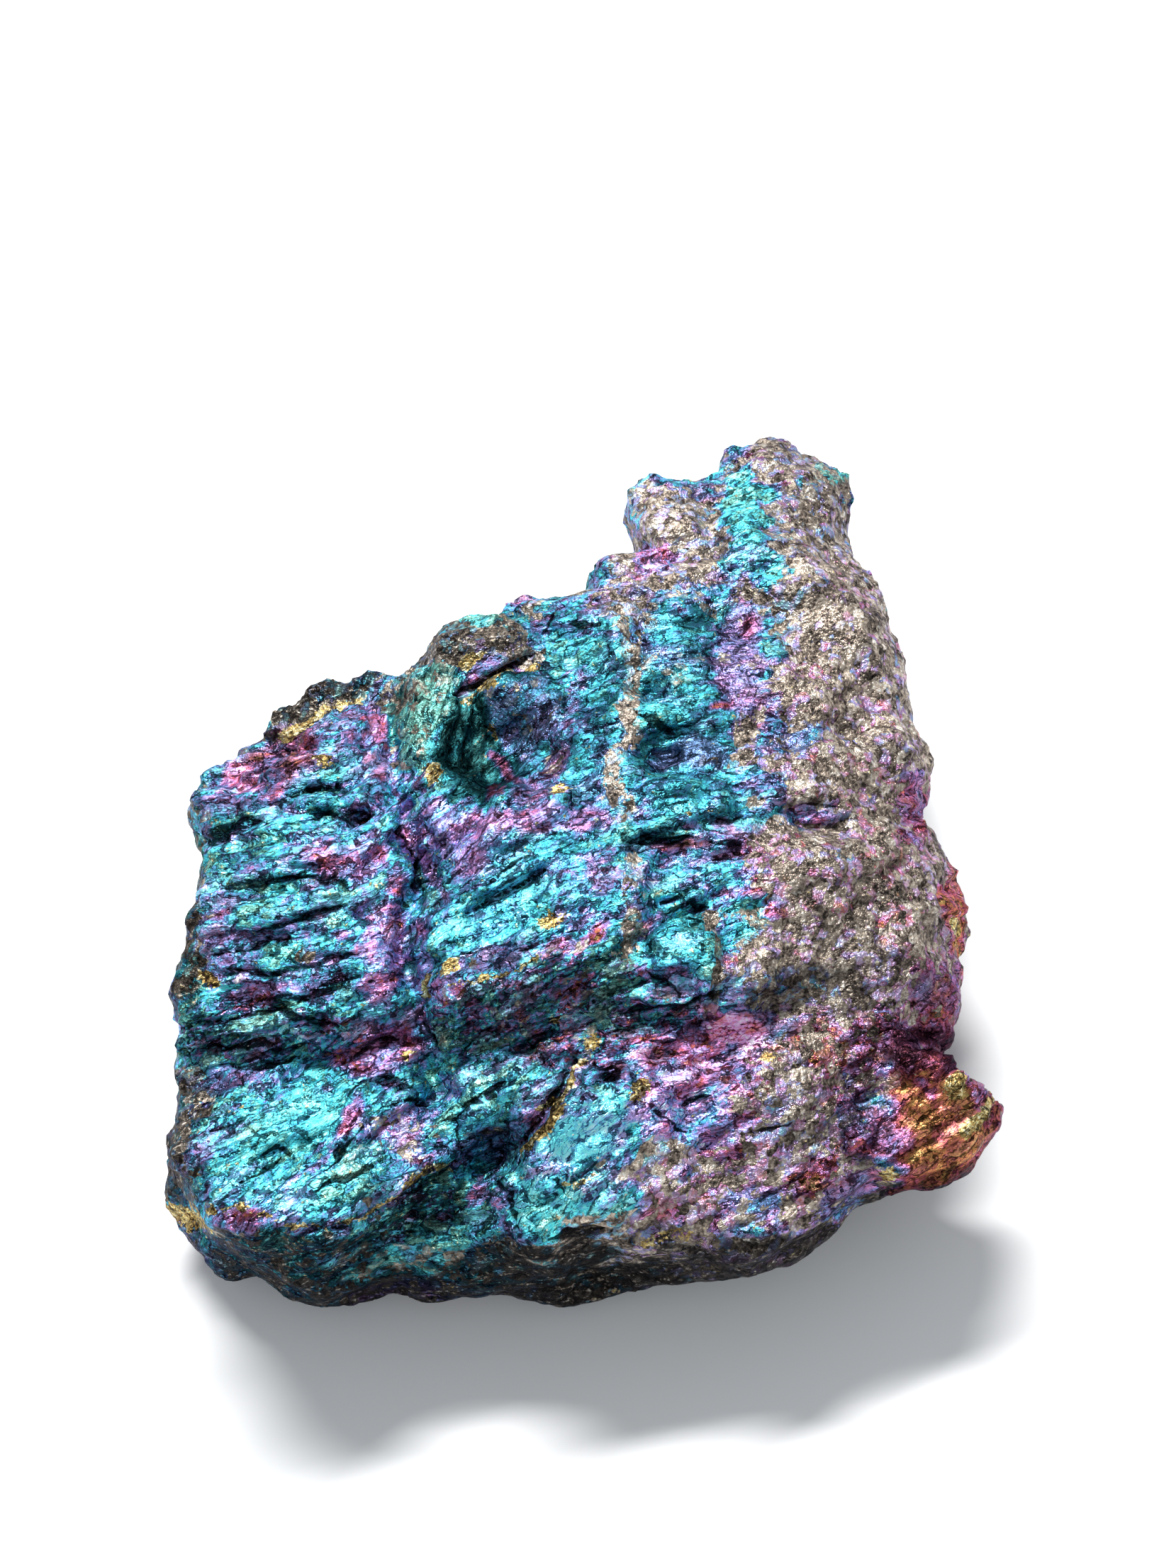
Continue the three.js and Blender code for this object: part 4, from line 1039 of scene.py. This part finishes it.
def tone_and_painted_light():
    """Painted light and shade: bright crests and glints, nearly black cracks and slits, scaled by shade."""
    # Painted highlights: crests of fibres and streaks are brighter, and each plate has a tone of its own.
    ground = product(
        scaled(spread(fibres, 0.3, 0.62), 0.5, 0.7), scaled(spread(streaks, 0.36, 0.6), 0.5, 0.75),
        scaled(long_lots[0], 0.4, 0.8), scaled(short_lots[0], 0.4, 0.8),
    )
    ground = scaled(maths("SUBTRACT", ground, 1.0), calm, 1.0)
    # Painted shade in the cracks.
    cracks = product(scaled(long_crack, 0.85, 0.15), scaled(short_crack, 0.7, 0.3), scaled(line, 0.75, 0.25))
    on_coated = scaled(product(ground, cracks), coated, uncoated)
    grain_crack = scaled(spread(grain["Distance"], 0.5, 0.8), -0.6, 1.0)
    on_bare = scaled(grain_crack, uncoated, coated)
    # Painted shade along the slits.
    slit = spread(total(near_slit, around(middle, 0.45), around(fibres, 0.3)), 0.68, 0.8)
    tone = scaled(spread(waves(place, BRIGHTNESS, 3.0, 0.65), 0.28, 0.72), 0.6, 0.6)
    tone = product(tone, on_coated, on_bare, scaled(slit, -0.92, 1.0))
    # Painted glints: bright fibre streaks, strongest where the painted shade is low.
    painted_glint = spread(total(fibres, around(fine, 0.5)), 0.56, 0.66)
    painted_glint = product(painted_glint, steady, scaled(shade, -0.7, 0.75, clamp=True))
    return scaled(tone, shade, painted_glint)


def surface_normal():
    """Fibres and cracks in relief on the tarnish, grains on the rest, and each plate's own tilt."""
    height = product(scaled(long_crack, 0.4, fibres), calm, rest(bare))
    height = total(height, product(fine, maths("ADD", bare, 0.3)))
    bump = add("ShaderNodeBump", {"Height": height, "Strength": 1.0, "Distance": BUMP_DEPTH * MM})[0]
    tilt = vector_maths("ADD", tilted(long_lot, 0.2), tilted(short_lot, 0.24))
    tilt = mix(uncoated, tilt, tilted(grain["Color"], 0.34))
    return vector_maths("NORMALIZE", vector_maths("ADD", bump, tilt))


hue = film_colour()
tone = tone_and_painted_light()
# The base colour is multiplied by the tone with its painted light and shade.
tone_and_painted_light_colour = add("ShaderNodeCombineColor", {"Red": tone, "Green": tone, "Blue": tone})[0]
shader = add("ShaderNodeBsdfPrincipled", {
    "Base Color": mix(1.0, gilded(mix(uncoated, hue, grain_colour(hue))), tone_and_painted_light_colour, "MULTIPLY"),
    "Metallic": scaled(uncoated, -0.25, 0.95),
    "Roughness": total(product(middle, 0.3), product(long_lots[1], 0.2), 0.12),
    "Normal": surface_normal(),
    "Specular IOR Level": 0.25,
    "Specular Tint": (0.45, 0.45, 0.5, 1.0),
})
add("ShaderNodeOutputMaterial", {"Surface": shader[0]})


# ---------------------------------------------------------------- the stone

mesh = fine_copy(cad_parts[NODE])
tarnish, lay = sculpt(mesh)
mesh.transform(Matrix.Scale(MM, 4))
add_colours(mesh, "tarnish", tarnish)
add_colours(mesh, "lay", lay)
mesh.shade_smooth()
mesh.materials.clear()
mesh.materials.append(material)
ore = placed("ore_skin", mesh)
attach(ore, "root")
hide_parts(NODE)


# ---------------------------------------------------------------- floor, light and camera, in metres

FLOOR_CORNERS = [(-3, -3, 0), (3, -3, 0), (3, 3, 0), (-3, 3, 0)]
FLOOR_COLOUR = (0.86, 0.86, 0.86, 1)
LIGHT_AIM = (0, 0, 0.01)


def pale_floor():
    paint = bpy.data.materials.new("floor_paint")
    paint.use_nodes = True
    inputs = paint.node_tree.nodes["Principled BSDF"].inputs
    inputs["Base Color"].default_value = FLOOR_COLOUR
    inputs["Roughness"].default_value = 0.6
    sheet = bpy.data.meshes.new("floor")
    sheet.from_pydata(FLOOR_CORNERS, [], [(0, 1, 2, 3)])
    sheet.materials.append(paint)
    return placed("floor", sheet)


def area_light(name, place, size, power):
    """A round lamp at a place, aimed at the stone, with its size and its power in watts."""
    data = bpy.data.lights.new(name, "AREA")
    data.shape = "DISK"
    data.size = size
    data.energy = power
    light = placed(name, data)
    direction = np.array(LIGHT_AIM) - np.array(place)
    fall = math.acos(-direction[2] / np.linalg.norm(direction))
    light.location = place
    light.rotation_euler = (fall, 0, math.atan2(direction[0], -direction[1]))


def studio_world():
    world = bpy.data.worlds.new("studio")
    world.use_nodes = True
    inputs = world.node_tree.nodes["Background"].inputs
    inputs["Color"].default_value = (0.9, 0.95, 1.0, 1)
    inputs["Strength"].default_value = 0.5
    return world


def photo_camera():
    """The camera at the photograph's angle of view."""
    data = bpy.data.cameras.new("camera")
    data.sensor_fit = "HORIZONTAL"
    data.sensor_width = SENSOR
    data.lens = SENSOR * DISTANCE * PIXELS_PER_MM / PICTURE[0]
    data.clip_start = 0.01
    data.clip_end = 20
    camera = placed("camera", data)
    camera.location = EYE * MM
    camera.rotation_euler = (math.radians(90 - ELEVATION), 0, 0)
    return camera


floor = pale_floor()
area_light("key", (-0.12, 0.42, 0.54), 0.38, 40.0)
area_light("fill", (0.2, -0.4, 0.45), 0.45, 8.0)
bpy.context.scene.world = studio_world()
bpy.context.scene.camera = photo_camera()
bpy.context.scene.view_settings.view_transform = "Standard"
